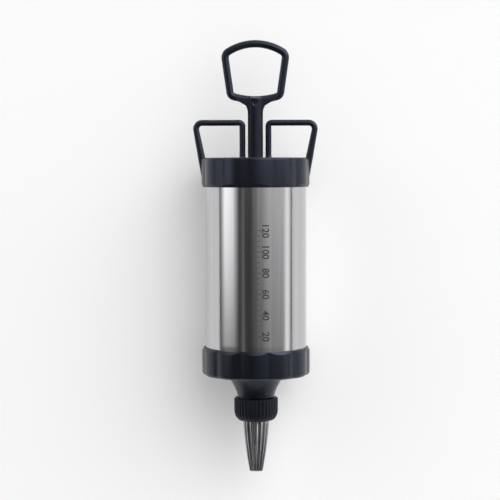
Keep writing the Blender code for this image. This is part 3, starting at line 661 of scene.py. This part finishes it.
def thumb_loop_path():
    """Middle line of the thumb loop: slightly dished foot, leaning sides and arched top."""
    apex = thumb_loop_top - THUMB_BAR_RADIUS
    foot = thumb_loop_foot + THROAT_HEIGHT
    top_x = THUMB_LOOP_HALF_WIDTH - THUMB_BAR_RADIUS
    foot_corner = Vector((top_x - THUMB_SIDE_LEAN, foot + THUMB_FOOT_RISE))
    centre_y = apex - THUMB_ARCH_RADIUS
    top_corner = Vector((top_x, centre_y + math.sqrt(THUMB_ARCH_RADIUS ** 2 - top_x ** 2)))
    half_sweep = math.asin(top_x / THUMB_ARCH_RADIUS)
    arch = []
    for step in range(1, ARCH_STEPS):
        angle = half_sweep * (1 - step / (ARCH_STEPS / 2))
        across = THUMB_ARCH_RADIUS * math.sin(angle)
        arch.append(Vector((across, centre_y + THUMB_ARCH_RADIUS * math.cos(angle))))
    top_fillet = fillet(foot_corner, top_corner, arch[0], THUMB_TOP_CORNER_RADIUS)
    reach = top_fillet[-1].x
    middle = [point for point in arch if abs(point.x) < reach]
    dish = []
    for out in THUMB_FOOT_SHARES:
        dish.append(Vector((foot_corner.x * out, foot + THUMB_FOOT_RISE * out * out)))
    right = dish + fillet(dish[-1], foot_corner, top_corner, THUMB_FOOT_CORNER_RADIUS) + top_fillet
    return [Vector((0.0, foot))] + right + middle + mirrored(right)


def throat_outline():
    """Web that spreads the stem into the foot of the thumb loop."""
    wide = STEM_WIDTH / 2
    reach = THUMB_LOOP_HALF_WIDTH - THUMB_SIDE_LEAN - THUMB_BAR_RADIUS
    right = []
    for out, up in THROAT_EDGE_SHARES:
        right.append(Vector((wide + (reach - wide) * out, thumb_loop_foot + THROAT_HEIGHT * up)))
    return right + mirrored(right)


def blended_handle():
    """Thumb loop, throat and the top of the stem, grown together with soft fillets."""
    loop_level = thumb_loop_foot + THROAT_HEIGHT
    depth_scale = THUMB_BAR_RADIUS / (STEM_WIDTH / 2)
    stub = loft("stub", [
        cross_section(thumb_loop_foot - HANDLE_STUB),
        cross_section(loop_level + STEM_END_RISE / 2),
        cross_section(loop_level + STEM_END_RISE, 0.0, depth_scale),
    ])
    outline = throat_outline()
    throat = loft("throat", [
        [(point.x, point.y, -THUMB_BAR_RADIUS) for point in outline],
        [(point.x, point.y, THUMB_BAR_RADIUS) for point in outline],
    ])
    path = thumb_loop_path()
    loop = swept_bar("loop", path, [THUMB_BAR_RADIUS] * len(path), closed=True)
    item = add_object("handle", joined("handle", [stub, throat, loop]))
    remesh = item.modifiers.new("blend", "REMESH")
    remesh.mode = "VOXEL"
    remesh.voxel_size = HANDLE_VOXEL
    smooth = item.modifiers.new("soften", "SMOOTH")
    smooth.iterations = HANDLE_SMOOTHING
    grow = item.modifiers.new("grow", "DISPLACE")
    grow.strength = HANDLE_GROWTH
    grow.mid_level = 0.0
    mesh = evaluated_mesh(item)
    bpy.data.objects.remove(item)
    return mesh


def press_dimple(shape):
    """Round mark pressed into the front of the throat."""
    middle = Vector((0.0, thumb_loop_foot + DIMPLE_HEIGHT))
    for point in shape.verts:
        outside = (Vector((point.co.x, point.co.y)) - middle).length - DIMPLE_RADIUS
        if point.co.z > 0 and outside < 0:
            point.co.z -= DIMPLE_DEPTH * smoothed(min(-outside / DIMPLE_WALL, 1.0))


def draw_stem(shape):
    """Cuts off the foot of the handle's stub and draws the stem down from there to the boss."""
    cut = thumb_loop_foot - HANDLE_CUT
    bmesh.ops.bisect_plane(shape, geom=all_parts(shape), plane_co=(0.0, cut, 0.0),
                           plane_no=(0.0, 1.0, 0.0), clear_inner=True)
    stem_foot = rod_foot + ROD_BOSS_LENGTH - STEM_WIDTH / 2
    rows = round((cut - stem_foot) / STEM_ROW)
    edges = [edge for edge in shape.edges if edge.is_boundary]
    for _ in range(rows):
        drawn = bmesh.ops.extrude_edge_only(shape, edges=edges)["geom"]
        moved = [part for part in drawn if isinstance(part, bmesh.types.BMVert)]
        bmesh.ops.translate(shape, verts=moved, vec=(0.0, (stem_foot - cut) / rows, 0.0))
        edges = [part for part in drawn if isinstance(part, bmesh.types.BMEdge)]
    bmesh.ops.edgeloop_fill(shape, edges=edges)


def make_plunger_rod():
    """Handle and stem with a round boss, which has a hole for the piston screw."""
    shape = bmesh.new()
    shape.from_mesh(blended_handle())
    press_dimple(shape)
    draw_stem(shape)
    rod = finished_mesh("plunger_moulding", shape)

    boss_top = rod_foot + ROD_BOSS_LENGTH
    boss = circles([
        Vector((0.0, rod_foot)), Vector((rod_boss_radius - PLATE_EDGE, rod_foot)),
        Vector((rod_boss_radius, rod_foot + PLATE_EDGE)),
        Vector((rod_boss_radius, boss_top - PLATE_EDGE)),
        Vector((rod_boss_radius - PLATE_EDGE, boss_top)), Vector((0.0, boss_top)),
    ])
    hole_top = span("piston_screw")[1] + TOUCH_GAP
    hole = cylinder("hole", screw_hole_radius, rod_foot - CUT_OVERRUN, hole_top, SCREW_COLUMNS)
    return shaped(rod, [
        (turned("boss", boss, SCREW_COLUMNS, closed=False), "UNION"), (hole, "DIFFERENCE"),
    ])


def make_upper_plate():
    """Disc behind the seal, with a socket for the rod's boss."""
    low, high = span("piston_upper_plate")
    socket_radius = rod_boss_radius + TOUCH_GAP
    hub_radius = socket_radius + SOCKET_WALL
    disc_top = low + PLATE_UPPER_THICKNESS
    floor = low + SOCKET_FLOOR
    return turned_disc("upper_plate_disc", [
        (screw_hole_radius, low, 0.0), (plate_radius, low, PLATE_EDGE),
        (plate_radius, disc_top, PLATE_EDGE), (hub_radius, disc_top, PLATE_EDGE),
        (hub_radius, high, PLATE_EDGE), (socket_radius, high, PLATE_EDGE),
        (socket_radius, floor, 0.0), (screw_hole_radius, floor, 0.0),
    ])


def make_seal():
    """Silicone ring with two lips on the barrel's wall."""
    low, high = span("piston_seal")
    inner = SEAL_HUB_RADIUS + TOUCH_GAP
    groove = seal_radius - SEAL_LIP_DEPTH
    lip = SEAL_LIP_BEVEL + SEAL_LIP_HEIGHT
    return turned_disc("seal_ring", [
        (inner, low, SEAL_EDGE), (seal_radius, low, SEAL_LIP_BEVEL),
        (seal_radius, low + lip, SEAL_EDGE), (groove, low + lip + SEAL_LIP_BEVEL, SEAL_EDGE),
        (groove, high - lip - SEAL_LIP_BEVEL, SEAL_EDGE), (seal_radius, high - lip, SEAL_EDGE),
        (seal_radius, high, SEAL_LIP_BEVEL), (inner, high, SEAL_EDGE),
    ])


def make_lower_plate():
    """Disc in front of the seal, with a hub through the seal and a recess for the screw."""
    low, high = span("piston_lower_plate")
    disc_top = span("piston_seal")[0] - TOUCH_GAP
    seat = low + SCREW_HEAD_HEIGHT + TOUCH_GAP
    return turned_disc("lower_plate_disc", [
        (screw_recess_radius, low, PLATE_EDGE),
        (plate_radius - PLATE_EDGE_CHAMFER, low, PLATE_EDGE),
        (plate_radius, low + PLATE_EDGE_CHAMFER, PLATE_EDGE),
        (plate_radius, disc_top, PLATE_EDGE), (SEAL_HUB_RADIUS, disc_top, 0.0),
        (SEAL_HUB_RADIUS, high, PLATE_EDGE), (screw_hole_radius, high, 0.0),
        (screw_hole_radius, seat, 0.0), (screw_recess_radius, seat, 0.0),
    ])


def make_piston_screw():
    """Pan-head screw with a cross recess and a rolled thread."""
    low, high = span("piston_screw")
    head_top = low + SCREW_HEAD_HEIGHT
    rings = [circle(0.0, low)]
    for sine, cosine in quarter(EDGE_STEPS):
        radius = SCREW_HEAD_RADIUS - SCREW_HEAD_EDGE * (1 - sine)
        rings.append(circle(radius, low + SCREW_HEAD_EDGE * (1 - cosine)))
    rings += [circle(SCREW_HEAD_RADIUS, head_top), circle(SCREW_RADIUS, head_top)]
    thread_low = head_top + SCREW_PLAIN_SHANK
    thread_high = high - SCREW_POINT_LENGTH
    rings += thread_rings(SCREW_RADIUS - SCREW_THREAD_DEPTH, SCREW_THREAD_DEPTH,
                          thread_low, thread_high, SCREW_THREAD_PITCH,
                          thread_low - SCREW_THREAD_PITCH, high, SCREW_THREAD_PITCH)
    rings.append(circle(0.0, high))
    screw = turned("clamp_screw", rings, SCREW_COLUMNS, closed=False)
    halves = (DRIVE_SLOT_WIDTH / 2, DRIVE_SLOT_LENGTH / 2)
    arms = []
    for wide, tall in (halves, halves[::-1]):
        outline = [(wide * x, tall * z) for x, z in ((1, 1), (1, -1), (-1, -1), (-1, 1))]
        arms.append(loft("arm", [
            [(x, low - CUT_OVERRUN, z) for x, z in outline],
            [(x, low + DRIVE_SLOT_DEPTH, z) for x, z in outline],
        ]))
    return shaped(screw, [(arm, "DIFFERENCE") for arm in arms])


def make_gasket():
    """Flat silicone ring under the barrel's lower edge."""
    low, high = span("bottom_gasket")
    inner = barrel_radius - GASKET_WIDTH
    return turned_disc("gasket_ring", [
        (inner, low, GASKET_EDGE), (barrel_radius, low, GASKET_EDGE),
        (barrel_radius, high, GASKET_EDGE), (inner, high, GASKET_EDGE),
    ])


def flared_neck():
    """Rings of the neck's outside, from its flare under the cap to its threaded foot."""
    rings = []
    for step in range(FLARE_STEPS + 1):
        share = (step / FLARE_STEPS) ** 2
        spread = (1 - share ** FLARE_HOLLOW) ** (1 / FLARE_HOLLOW)
        radius = NECK_RADIUS + (FLARE_RADIUS - NECK_RADIUS) * spread
        rings.append(circle(radius, bottom_cap_foot - FLARE_HEIGHT * share))
    rings += [
        circle(NECK_RADIUS, neck_shoulder + NECK_EDGE),
        circle(NECK_RADIUS - NECK_EDGE, neck_shoulder),
    ]
    thread_low = neck_foot + NECK_END_CHAMFER
    thread = thread_rings(neck_thread_root, NECK_THREAD_DEPTH, thread_low, neck_shoulder,
                          NECK_THREAD_PITCH, thread_low, neck_shoulder, NECK_THREAD_FADE)
    return rings + thread[::-1] + [circle(neck_thread_root - NECK_END_CHAMFER, neck_foot)]


def make_bottom_cap():
    """Lobed cap with an inner thread, a funnel, a flared neck and the nut's thread."""
    turn = BOTTOM_CAP_TURN
    rings = lobed_skin(bottom_cap_rim, bottom_cap_foot, BOTTOM_EDGE_RADIUS, BOTTOM_EDGE_STEPS, turn)
    rings += flared_neck()
    rings += [
        circle(NECK_BORE_RADIUS, neck_foot),
        circle(NECK_BORE_RADIUS, bottom_floor - FUNNEL_DEPTH),
        circle(FUNNEL_RADIUS, bottom_floor),
        circle(cap_bore, bottom_floor),
    ]
    ridge_low = barrel_foot + CAP_THREAD_LEAD
    rings += thread_rings(cap_bore, -CAP_THREAD_DEPTH, ridge_low, cap_thread_top,
                          CAP_THREAD_PITCH, ridge_low, cap_thread_top, CAP_THREAD_FADE)
    rings.append(circle(cap_bore, bottom_cap_rim))
    return turned("bottom_cap_moulding", rings, CAP_COLUMNS, turn - LOBE_HALF_ANGLE)


def valley(flutes, angle):
    """0 on the ridge between two flutes and 1 at the bottom of one."""
    return 0.5 - 0.5 * math.cos(flutes * angle)


def nut_flute(radius, along, depth):
    return lambda angle: (radius - depth * valley(NUT_FLUTES, angle), along)


def make_nozzle_nut():
    """Fluted nut whose ledge holds the nozzle's flange against the neck."""
    rings = []
    for sine, cosine in quarter(NUT_SHOULDER_STEPS):
        radius = NUT_FOOT_RADIUS + (NUT_RADIUS - NUT_FOOT_RADIUS) * sine
        along = nut_foot + NUT_SHOULDER_HEIGHT * (1 - cosine)
        rings.append(nut_flute(radius, along, NUT_FLUTE_DEPTH * sine))
    for sine, cosine in quarter(NUT_TOP_STEPS):
        radius = NUT_RADIUS - NUT_TOP_BEVEL * (1 - cosine)
        along = nut_top - NUT_TOP_BEVEL * (1 - sine)
        rings.append(nut_flute(radius, along, NUT_FLUTE_DEPTH * cosine))
    thread_low = neck_foot + NECK_THREAD_PITCH / 2
    groove = thread_rings(neck_thread_root + TOUCH_GAP, NECK_THREAD_DEPTH, thread_low, nut_top,
                          NECK_THREAD_PITCH, thread_low - NECK_THREAD_PITCH,
                          nut_top + NECK_THREAD_PITCH, NECK_THREAD_FADE)
    rings += groove[::-1]
    ledge = nut_foot + NUT_LEDGE_THICKNESS
    hole_radius = nozzle_radius(ledge) + TOUCH_GAP
    rings += [
        circle(nut_bore, thread_low - NECK_END_CHAMFER),
        circle(nut_bore, ledge),
        circle(hole_radius, ledge),
        circle(hole_radius, nut_foot),
    ]
    return turned("nut_moulding", rings, NUT_FLUTES * NUT_FLUTE_COLUMNS)


def nozzle_radius(along):
    """Radius over the ridges of the nozzle, a cone that swells towards the nut."""
    share = min((along - nozzle_tip) / (nut_foot - nozzle_tip), 1.0)
    swell = 1 - (1 - share) ** NOZZLE_BULGE
    return NOZZLE_TIP_RADIUS + (NOZZLE_ROOT_RADIUS - NOZZLE_TIP_RADIUS) * swell


def nozzle_ring(along, inset, depth, tooth=0.0):
    """Ring with the nozzle's flutes, whose valleys stand back from the tip by the tooth."""
    def ring(angle):
        share = valley(NOZZLE_FLUTES, angle)
        return nozzle_radius(along) - inset - depth * share, along + tooth * share
    return ring


def make_nozzle():
    """Fluted steel cone with a flat flange inside the nut."""
    flange_radius = nut_bore - TOUCH_GAP
    shell = []
    for row in range(NOZZLE_ROWS + 1):
        share = row / NOZZLE_ROWS
        along = nozzle_tip + (nut_foot - nozzle_tip) * share
        shell.append((along, NOZZLE_TOOTH_HEIGHT * (1 - share)))
    rings = [nozzle_ring(along, 0.0, NOZZLE_FLUTE_DEPTH, tooth) for along, tooth in shell]
    rings += [
        nozzle_ring(nozzle_flange_foot, 0.0, 0.0),
        circle(flange_radius, nozzle_flange_foot),
        circle(flange_radius, nozzle_flange_top),
        nozzle_ring(nozzle_flange_top, NOZZLE_WALL, 0.0),
    ]
    inside = [nozzle_ring(along, NOZZLE_WALL, NOZZLE_FLUTE_DEPTH, tooth) for along, tooth in shell]
    rings += inside[::-1]
    return turned("nozzle_cone", rings, NOZZLE_FLUTES * NOZZLE_FLUTE_COLUMNS)


# Etched scale

def wrapped(mesh):
    """A flat mark bent round the barrel; its height becomes the distance from the wall."""
    shape = bmesh.new()
    shape.from_mesh(mesh)
    reach = max(point.co.x for point in shape.verts)
    cut = min(point.co.x for point in shape.verts) + WRAP_STEP
    while cut < reach:
        bmesh.ops.bisect_plane(shape, geom=all_parts(shape), plane_co=(cut, 0.0, 0.0),
                               plane_no=(1.0, 0.0, 0.0))
        cut += WRAP_STEP
    for point in shape.verts:
        angle = point.co.x / barrel_radius
        radius = barrel_radius + point.co.z
        point.co.x = radius * math.sin(angle)
        point.co.z = radius * math.cos(angle)
    return finished_mesh("mark", shape)


def tick(left, right, along):
    """Flat bar across the barrel, from a little inside its wall to a little proud of it."""
    foot = along - TICK_WIDTH / 2
    head = along + TICK_WIDTH / 2
    outline = [(left, foot), (right, foot), (right, head), (left, head)]
    levels = (-MARK_SUNK, MARK_PROUD)
    return loft("tick", [[(x, y, level) for x, y in outline] for level in levels])


def number(value, left, along):
    """Digits that read down the barrel, with their heads to the right."""
    curve = bpy.data.curves.new("number", "FONT")
    curve.body = str(value)
    curve.size = DIGIT_HEIGHT / FONT_HEIGHT_SHARE
    curve.offset = DIGIT_BOLD
    curve.extrude = (MARK_PROUD + MARK_SUNK) / 2
    curve.align_x = "CENTER"
    item = add_object("number", curve)
    mesh = evaluated_mesh(item)
    bpy.data.objects.remove(item)
    mesh.transform(Matrix.Rotation(-math.pi / 2, 4, "Z"))
    mesh.transform(Matrix.Translation((left, along, (MARK_PROUD - MARK_SUNK) / 2)))
    return mesh


def make_scale():
    """Graduation that counts millilitres of the barrel's bore."""
    step_length = MILLILITRE / (math.pi * barrel_bore ** 2)
    start = bottom_cap_rim + SCALE_FOOT_ABOVE_RIM
    marks = []
    for value in range(SCALE_START, SCALE_STOP + 1, SCALE_STEP):
        along = start + step_length * (value - SCALE_START)
        numbered = value % SCALE_NUMBER_STEP == 0
        length = TICK_LONG if numbered else TICK_SHORT
        marks.append(wrapped(tick(TICK_LEFT, TICK_LEFT + length, along)))
        if numbered:
            marks.append(wrapped(number(value, TICK_LEFT + TICK_LONG + DIGIT_GAP, along)))
    return joined("barrel_scale", marks)


# Finishes

WHITE = (1.0, 1.0, 1.0, 1.0)
EVEN = (1.0, 1.0, 1.0)
LENGTHWISE = (1.0, 0.012, 1.0)
# The part of a noise's range that a finish uses
NOISE_LOW = 0.3
NOISE_HIGH = 0.7

# A finish has two tones, noises (cycles per metre, detail, stretch), bumps (strength, depth) and a
# roughness that runs from its smoothest place to its roughest
BLACK_TONES = ((0.0045, 0.0051, 0.0075, 1.0), (0.0066, 0.0074, 0.0108, 1.0))
BLACK_SHEEN = (0.66, 0.73, 1.0, 1.0)
PLASTIC_GLOSS = 0.5
PLASTIC_CLOUD = (90.0, 4.0)
PLASTIC_MARKS = (240.0, 6.0, (1.0, 0.25, 1.0))
PLASTIC_GRAIN = (2600.0, 2.0)
PLASTIC_GRAIN_BUMP = (0.25, 0.012 * MM)
PLASTIC_WAVES = (160.0, 4.0)
PLASTIC_WAVE_BUMP = (0.2, 0.048 * MM)
CAP_ROUGHNESS = (0.24, 0.33)
ROD_ROUGHNESS = (0.24, 0.34)
DULL_ROUGHNESS = (0.36, 0.50)
NUT_GLOSS = 0.25

STEEL_TONES = ((0.50, 0.50, 0.51, 1.0), (0.60, 0.60, 0.61, 1.0))
SHEET_TONES = ((0.24, 0.24, 0.26, 1.0), (0.50, 0.50, 0.52, 1.0))
STEEL_LINES = (1400.0, 5.0)
STEEL_BANDS = (260.0, 3.0)
STEEL_BUMP_STRENGTH = 0.2
BARREL_ROUGHNESS = (0.10, 0.20)
BARREL_GRAIN = 0.0015 * MM
NOZZLE_ROUGHNESS = (0.06, 0.14)
SCREW_ROUGHNESS = (0.20, 0.32)
SHEET_GRAIN = 0.002 * MM

SILICONE_TONES = ((0.66, 0.66, 0.63, 1.0), (0.76, 0.76, 0.74, 1.0))
SILICONE_ROUGHNESS = (0.42, 0.55)
SILICONE_CLOUD = (120.0, 4.0)
SILICONE_MARKS = (400.0, 4.0)
SILICONE_GRAIN = (1800.0, 4.0)
SILICONE_BUMP = (0.3, 0.01 * MM)

ETCH_TONES = ((0.030, 0.028, 0.028, 1.0), (0.075, 0.070, 0.068, 1.0))
ETCH_GRAIN = (3200.0, 4.0)
ETCH_ROUGHNESS = 0.62
ETCH_METALLIC = 0.4


class NodeTree:
    """The nodes of a material or world under construction."""

    def __init__(self, owner):
        owner.use_nodes = True
        self.nodes = owner.node_tree.nodes
        self.links = owner.node_tree.links

    def feed(self, socket, value):
        """Sets an input to a value, or links it to the output of another node."""
        if isinstance(value, bpy.types.NodeSocket):
            self.links.new(value, socket)
        else:
            socket.default_value = value

    def add(self, kind, output, inputs, **settings):
        """Output of a new node with these inputs and settings."""
        node = self.nodes.new("ShaderNode" + kind)
        for name, value in settings.items():
            setattr(node, name, value)
        for name, value in inputs.items():
            self.feed(node.inputs[name], value)
        return node.outputs[output]

    def math(self, operation, first, second=0.0):
        return self.add("Math", "Value", {0: first, 1: second}, operation=operation)

    def map_range(self, value, start, end, low, high, interpolation="LINEAR"):
        """Goes from low to high as the value goes from start to end."""
        inputs = {"Value": value, "From Min": start, "From Max": end, "To Min": low, "To Max": high}
        return self.add("MapRange", "Result", inputs, interpolation_type=interpolation)


class Finish(NodeTree):
    """A node material under construction, with its shader and object coordinates."""

    def __init__(self, name):
        self.material = bpy.data.materials.new(name)
        super().__init__(self.material)
        self.shader = self.nodes["Principled BSDF"].inputs
        self.place = self.add("TexCoord", "Object", {})

    def shade(self, socket, value):
        self.feed(self.shader[socket], value)

    def noise(self, scale, detail, stretch=EVEN):
        place = self.add("Mapping", "Vector", {"Vector": self.place, "Scale": stretch})
        return self.add("TexNoise", "Fac", {"Vector": place, "Scale": scale, "Detail": detail})

    def spread(self, noise, low, high):
        return self.map_range(noise, NOISE_LOW, NOISE_HIGH, low, high)

    def blend(self, noise, first, second):
        """Colour that goes from the first to the second with the noise."""
        inputs = {"Factor": self.spread(noise, 0.0, 1.0), "A": first, "B": second}
        return self.add("Mix", "Result", inputs, data_type="RGBA")

    def bump(self, height, strength, depth, below=None):
        inputs = {"Height": height, "Strength": strength, "Distance": depth}
        if below:
            inputs["Normal"] = below
        return self.add("Bump", "Normal", inputs)


def moulded_plastic(name, roughness, gloss=PLASTIC_GLOSS):
    """Black moulded plastic: cloudy tone, fine grain from the mould and soft handling marks."""
    finish = Finish(name)
    finish.shade("Base Color", finish.blend(finish.noise(*PLASTIC_CLOUD), *BLACK_TONES))
    finish.shade("Roughness", finish.spread(finish.noise(*PLASTIC_MARKS), *roughness))
    finish.shade("Specular IOR Level", gloss)
    finish.shade("Specular Tint", BLACK_SHEEN)
    grain = finish.bump(finish.noise(*PLASTIC_GRAIN), *PLASTIC_GRAIN_BUMP)
    finish.shade("Normal", finish.bump(finish.noise(*PLASTIC_WAVES), *PLASTIC_WAVE_BUMP, grain))
    return finish.material


def drawn_steel(name, tones, roughness, grain, stretch=LENGTHWISE):
    """Polished steel with fine lines and wider bands along the drawing direction."""
    finish = Finish(name)
    lines = finish.noise(*STEEL_LINES, stretch)
    bands = finish.noise(*STEEL_BANDS, stretch)
    finish.shade("Base Color", finish.blend(bands, *tones))
    finish.shade("Metallic", 1.0)
    finish.shade("Roughness", finish.spread(lines, *roughness))
    ripple = finish.bump(bands, STEEL_BUMP_STRENGTH, 2 * grain)
    finish.shade("Normal", finish.bump(lines, STEEL_BUMP_STRENGTH, grain, ripple))
    return finish.material


def milky_silicone(name):
    finish = Finish(name)
    finish.shade("Base Color", finish.blend(finish.noise(*SILICONE_CLOUD), *SILICONE_TONES))
    finish.shade("Roughness", finish.spread(finish.noise(*SILICONE_MARKS), *SILICONE_ROUGHNESS))
    finish.shade("Normal", finish.bump(finish.noise(*SILICONE_GRAIN), *SILICONE_BUMP))
    return finish.material


def etched_mark(name):
    finish = Finish(name)
    finish.shade("Base Color", finish.blend(finish.noise(*ETCH_GRAIN), *ETCH_TONES))
    finish.shade("Roughness", ETCH_ROUGHNESS)
    finish.shade("Metallic", ETCH_METALLIC)
    return finish.material


def dress():
    """Makes every piece and its finish, and ties the piece to its body and node."""
    cap_plastic = moulded_plastic("cap_black", CAP_ROUGHNESS)
    rod_plastic = moulded_plastic("rod_black", ROD_ROUGHNESS)
    nut_plastic = moulded_plastic("nut_black", DULL_ROUGHNESS, NUT_GLOSS)
    piston_plastic = moulded_plastic("piston_black", DULL_ROUGHNESS)
    silicone = milky_silicone("silicone_milky")
    barrel_steel = drawn_steel("barrel_polished", STEEL_TONES, BARREL_ROUGHNESS, BARREL_GRAIN)
    nozzle_steel = drawn_steel("nozzle_pressed", SHEET_TONES, NOZZLE_ROUGHNESS, SHEET_GRAIN)
    screw_steel = drawn_steel("screw_turned", STEEL_TONES, SCREW_ROUGHNESS, SHEET_GRAIN, EVEN)

    piece("barrel_tube", make_barrel(), barrel_steel, "barrel", "barrel")
    piece("barrel_scale", make_scale(), etched_mark("scale_etched"), "barrel")
    piece("top_cap_moulding", make_top_cap(), cap_plastic, "top_cap", "top_cap",
          CAP_CREASE)
    piece("plunger_moulding", make_plunger_rod(), rod_plastic, "plunger",
          "plunger_rod")
    piece("upper_plate_disc", make_upper_plate(), piston_plastic, "plunger",
          "piston_upper_plate")
    piece("seal_ring", make_seal(), silicone, "plunger", "piston_seal")
    piece("lower_plate_disc", make_lower_plate(), piston_plastic, "plunger",
          "piston_lower_plate")
    piece("clamp_screw", make_piston_screw(), screw_steel, "plunger", "piston_screw")
    piece("gasket_ring", make_gasket(), silicone, "bottom_gasket", "bottom_gasket")
    piece("bottom_cap_moulding", make_bottom_cap(), cap_plastic, "bottom_cap",
          "bottom_cap", CAP_CREASE)
    piece("nut_moulding", make_nozzle_nut(), nut_plastic, "nozzle_nut", "nozzle_nut",
          NUT_CREASE)
    piece("nozzle_cone", make_nozzle(), nozzle_steel, "nozzle", "nozzle")


# Studio

CAMERA_PLACE = Vector((-2.86 * MM, 44.98 * MM, 827.0 * MM))
CAMERA_AIM = Vector((-2.86 * MM, 3.41 * MM, 27.04 * MM))
CAMERA_FIELD = math.radians(17.79)
CAMERA_ROLL = math.radians(-0.15)
CAMERA_SENSOR = 36.0
CAMERA_FAR = 60.0
FLOOR_HALF = 12.0
FLOOR_COLOUR = (0.86, 0.86, 0.86, 1.0)
FLOOR_ROUGHNESS = 0.8
FLOOR_LIFT = 0.16


def make_camera():
    camera = bpy.data.cameras.new("camera")
    camera.sensor_width = CAMERA_SENSOR
    camera.lens = CAMERA_SENSOR / 2 / math.tan(CAMERA_FIELD / 2)
    camera.clip_end = CAMERA_FAR
    item = add_object("camera", camera)
    tilt = math.atan2(CAMERA_PLACE.y - CAMERA_AIM.y, CAMERA_PLACE.z - CAMERA_AIM.z)
    view = Matrix.Rotation(-tilt, 4, "X") @ Matrix.Rotation(CAMERA_ROLL, 4, "Z")
    item.matrix_world = Matrix.Translation(CAMERA_PLACE) @ view
    bpy.context.scene.camera = item


def make_floor():
    """Pale floor that takes shadows, and that the eye and reflections see a little lighter."""
    signs = ((-1, -1), (1, -1), (1, 1), (-1, 1))
    corners = [(FLOOR_HALF * x, FLOOR_HALF * y, 0.0) for x, y in signs]
    mesh = bpy.data.meshes.new("floor")
    mesh.from_pydata(corners, [], [(0, 1, 2, 3)])
    finish = Finish("floor_pale")
    finish.shade("Base Color", FLOOR_COLOUR)
    finish.shade("Roughness", FLOOR_ROUGHNESS)
    finish.shade("Specular IOR Level", 0.0)
    path = finish.nodes.new("ShaderNodeLightPath").outputs
    seen = path["Is Camera Ray"]
    for ray in ("Is Glossy Ray", "Is Transmission Ray"):
        seen = finish.math("MAXIMUM", seen, path[ray])
    finish.shade("Emission Color", WHITE)
    finish.shade("Emission Strength", finish.map_range(seen, 0.0, 1.0, 0.0, FLOOR_LIFT))
    mesh.materials.append(finish.material)
    add_object("floor", mesh)


class Dome(NodeTree):
    """The studio as a dome: soft panels that run along the object, at angles from overhead."""

    def __init__(self):
        world = bpy.data.worlds.new("studio")
        bpy.context.scene.world = world
        super().__init__(world)
        split = self.nodes.new("ShaderNodeSeparateXYZ")
        self.feed(split.inputs["Vector"], self.add("TexCoord", "Generated", {}))
        self.along = split.outputs["Y"]
        self.lean = self.math("ARCTAN2", split.outputs["X"], split.outputs["Z"])
        self.total = DOME_BASE

    def ramp(self, value, start, end, low, high):
        return self.map_range(value, start, end, low, high, "SMOOTHSTEP")

    def panel(self, low, low_soft, high, high_soft, head, foot, fade):
        """Light between two angles in degrees, from one level at the head to one at the foot."""
        edges = (low - low_soft, low + low_soft, high - high_soft, high + high_soft)
        rise_start, rise_end, fall_start, fall_end = [math.radians(edge) for edge in edges]
        rise = self.ramp(self.lean, rise_start, rise_end, 0.0, 1.0)
        fall = self.ramp(self.lean, fall_start, fall_end, 1.0, 0.0)
        strength = self.ramp(self.along, *fade, foot, head)
        light = self.math("MULTIPLY", self.math("MULTIPLY", rise, fall), strength)
        self.total = self.math("ADD", self.total, light)

    def finish(self):
        """Fades the panels into the plain ends and lights the world with both."""
        reach = self.math("ABSOLUTE", self.along)
        panels = self.math("MULTIPLY", self.total, self.ramp(reach, *END_FADE, 1.0, 0.0))
        ends = self.ramp(reach, *END_FADE, 0.0, END_LEVEL)
        light = self.nodes["Background"].inputs
        self.feed(light["Color"], WHITE)
        self.feed(light["Strength"], self.math("ADD", panels, ends))


# Slopes along the object at which a panel reaches its foot level and its head level
SHORT_FADE = (-0.13, -0.03)
LONG_FADE = (-0.16, 0.03)
HEAD_FADE = (0.04, 0.50)
CAP_FADE = (-0.02, 0.02)
# The dome's two ends, beyond nozzle and thumb loop, are plain
END_FADE = (0.80, 0.93)
END_LEVEL = 1.0
# Panels of the dome: where each starts and ends, in degrees from overhead towards the right, each
# with its edge's softness, then the levels at the head and the foot, and how they fade between them
DOME_BASE = 0.045
DOME_PANELS = (
    (-81.0, 9.0, -48.0, 12.0, 1.62, 0.18, SHORT_FADE),
    (-31.0, 2.0, -26.0, 2.0, 0.17, 0.22, LONG_FADE),
    (-8.0, 4.0, 86.0, 5.0, 0.13, 0.03, LONG_FADE),
    (3.0, 3.0, 86.0, 5.0, 0.20, 0.07, LONG_FADE),
    (22.0, 13.0, 86.0, 5.0, 0.34, 0.12, LONG_FADE),
    (69.0, 4.0, 82.0, 4.0, 0.62, 0.95, LONG_FADE),
    (5.0, 30.0, 100.0, 25.0, 2.60, 0.0, HEAD_FADE),
    (-26.0, 10.0, 60.0, 20.0, 0.13, 0.0, CAP_FADE),
)
FILL_LEAN = math.radians(12.0)
FILL_TILT = math.radians(12.0)
FILL_DISTANCE = 1.2
FILL_ALONG = 0.25
FILL_SIZE = 1.4
FILL_ENERGY = 2.8


def light_studio():
    dome = Dome()
    for panel in DOME_PANELS:
        dome.panel(*panel)
    dome.finish()
    lamp = bpy.data.lights.new("fill", "AREA")
    lamp.size = FILL_SIZE
    lamp.energy = FILL_ENERGY
    fill = add_object("fill", lamp)
    across = FILL_DISTANCE * math.sin(FILL_LEAN)
    fill.location = (across, FILL_ALONG, FILL_DISTANCE * math.cos(FILL_LEAN))
    fill.rotation_euler = (-FILL_TILT, FILL_LEAN, 0.0)
    fill.visible_glossy = False
    bpy.context.scene.view_settings.view_transform = "Standard"


dress()
make_floor()
make_camera()
light_studio()
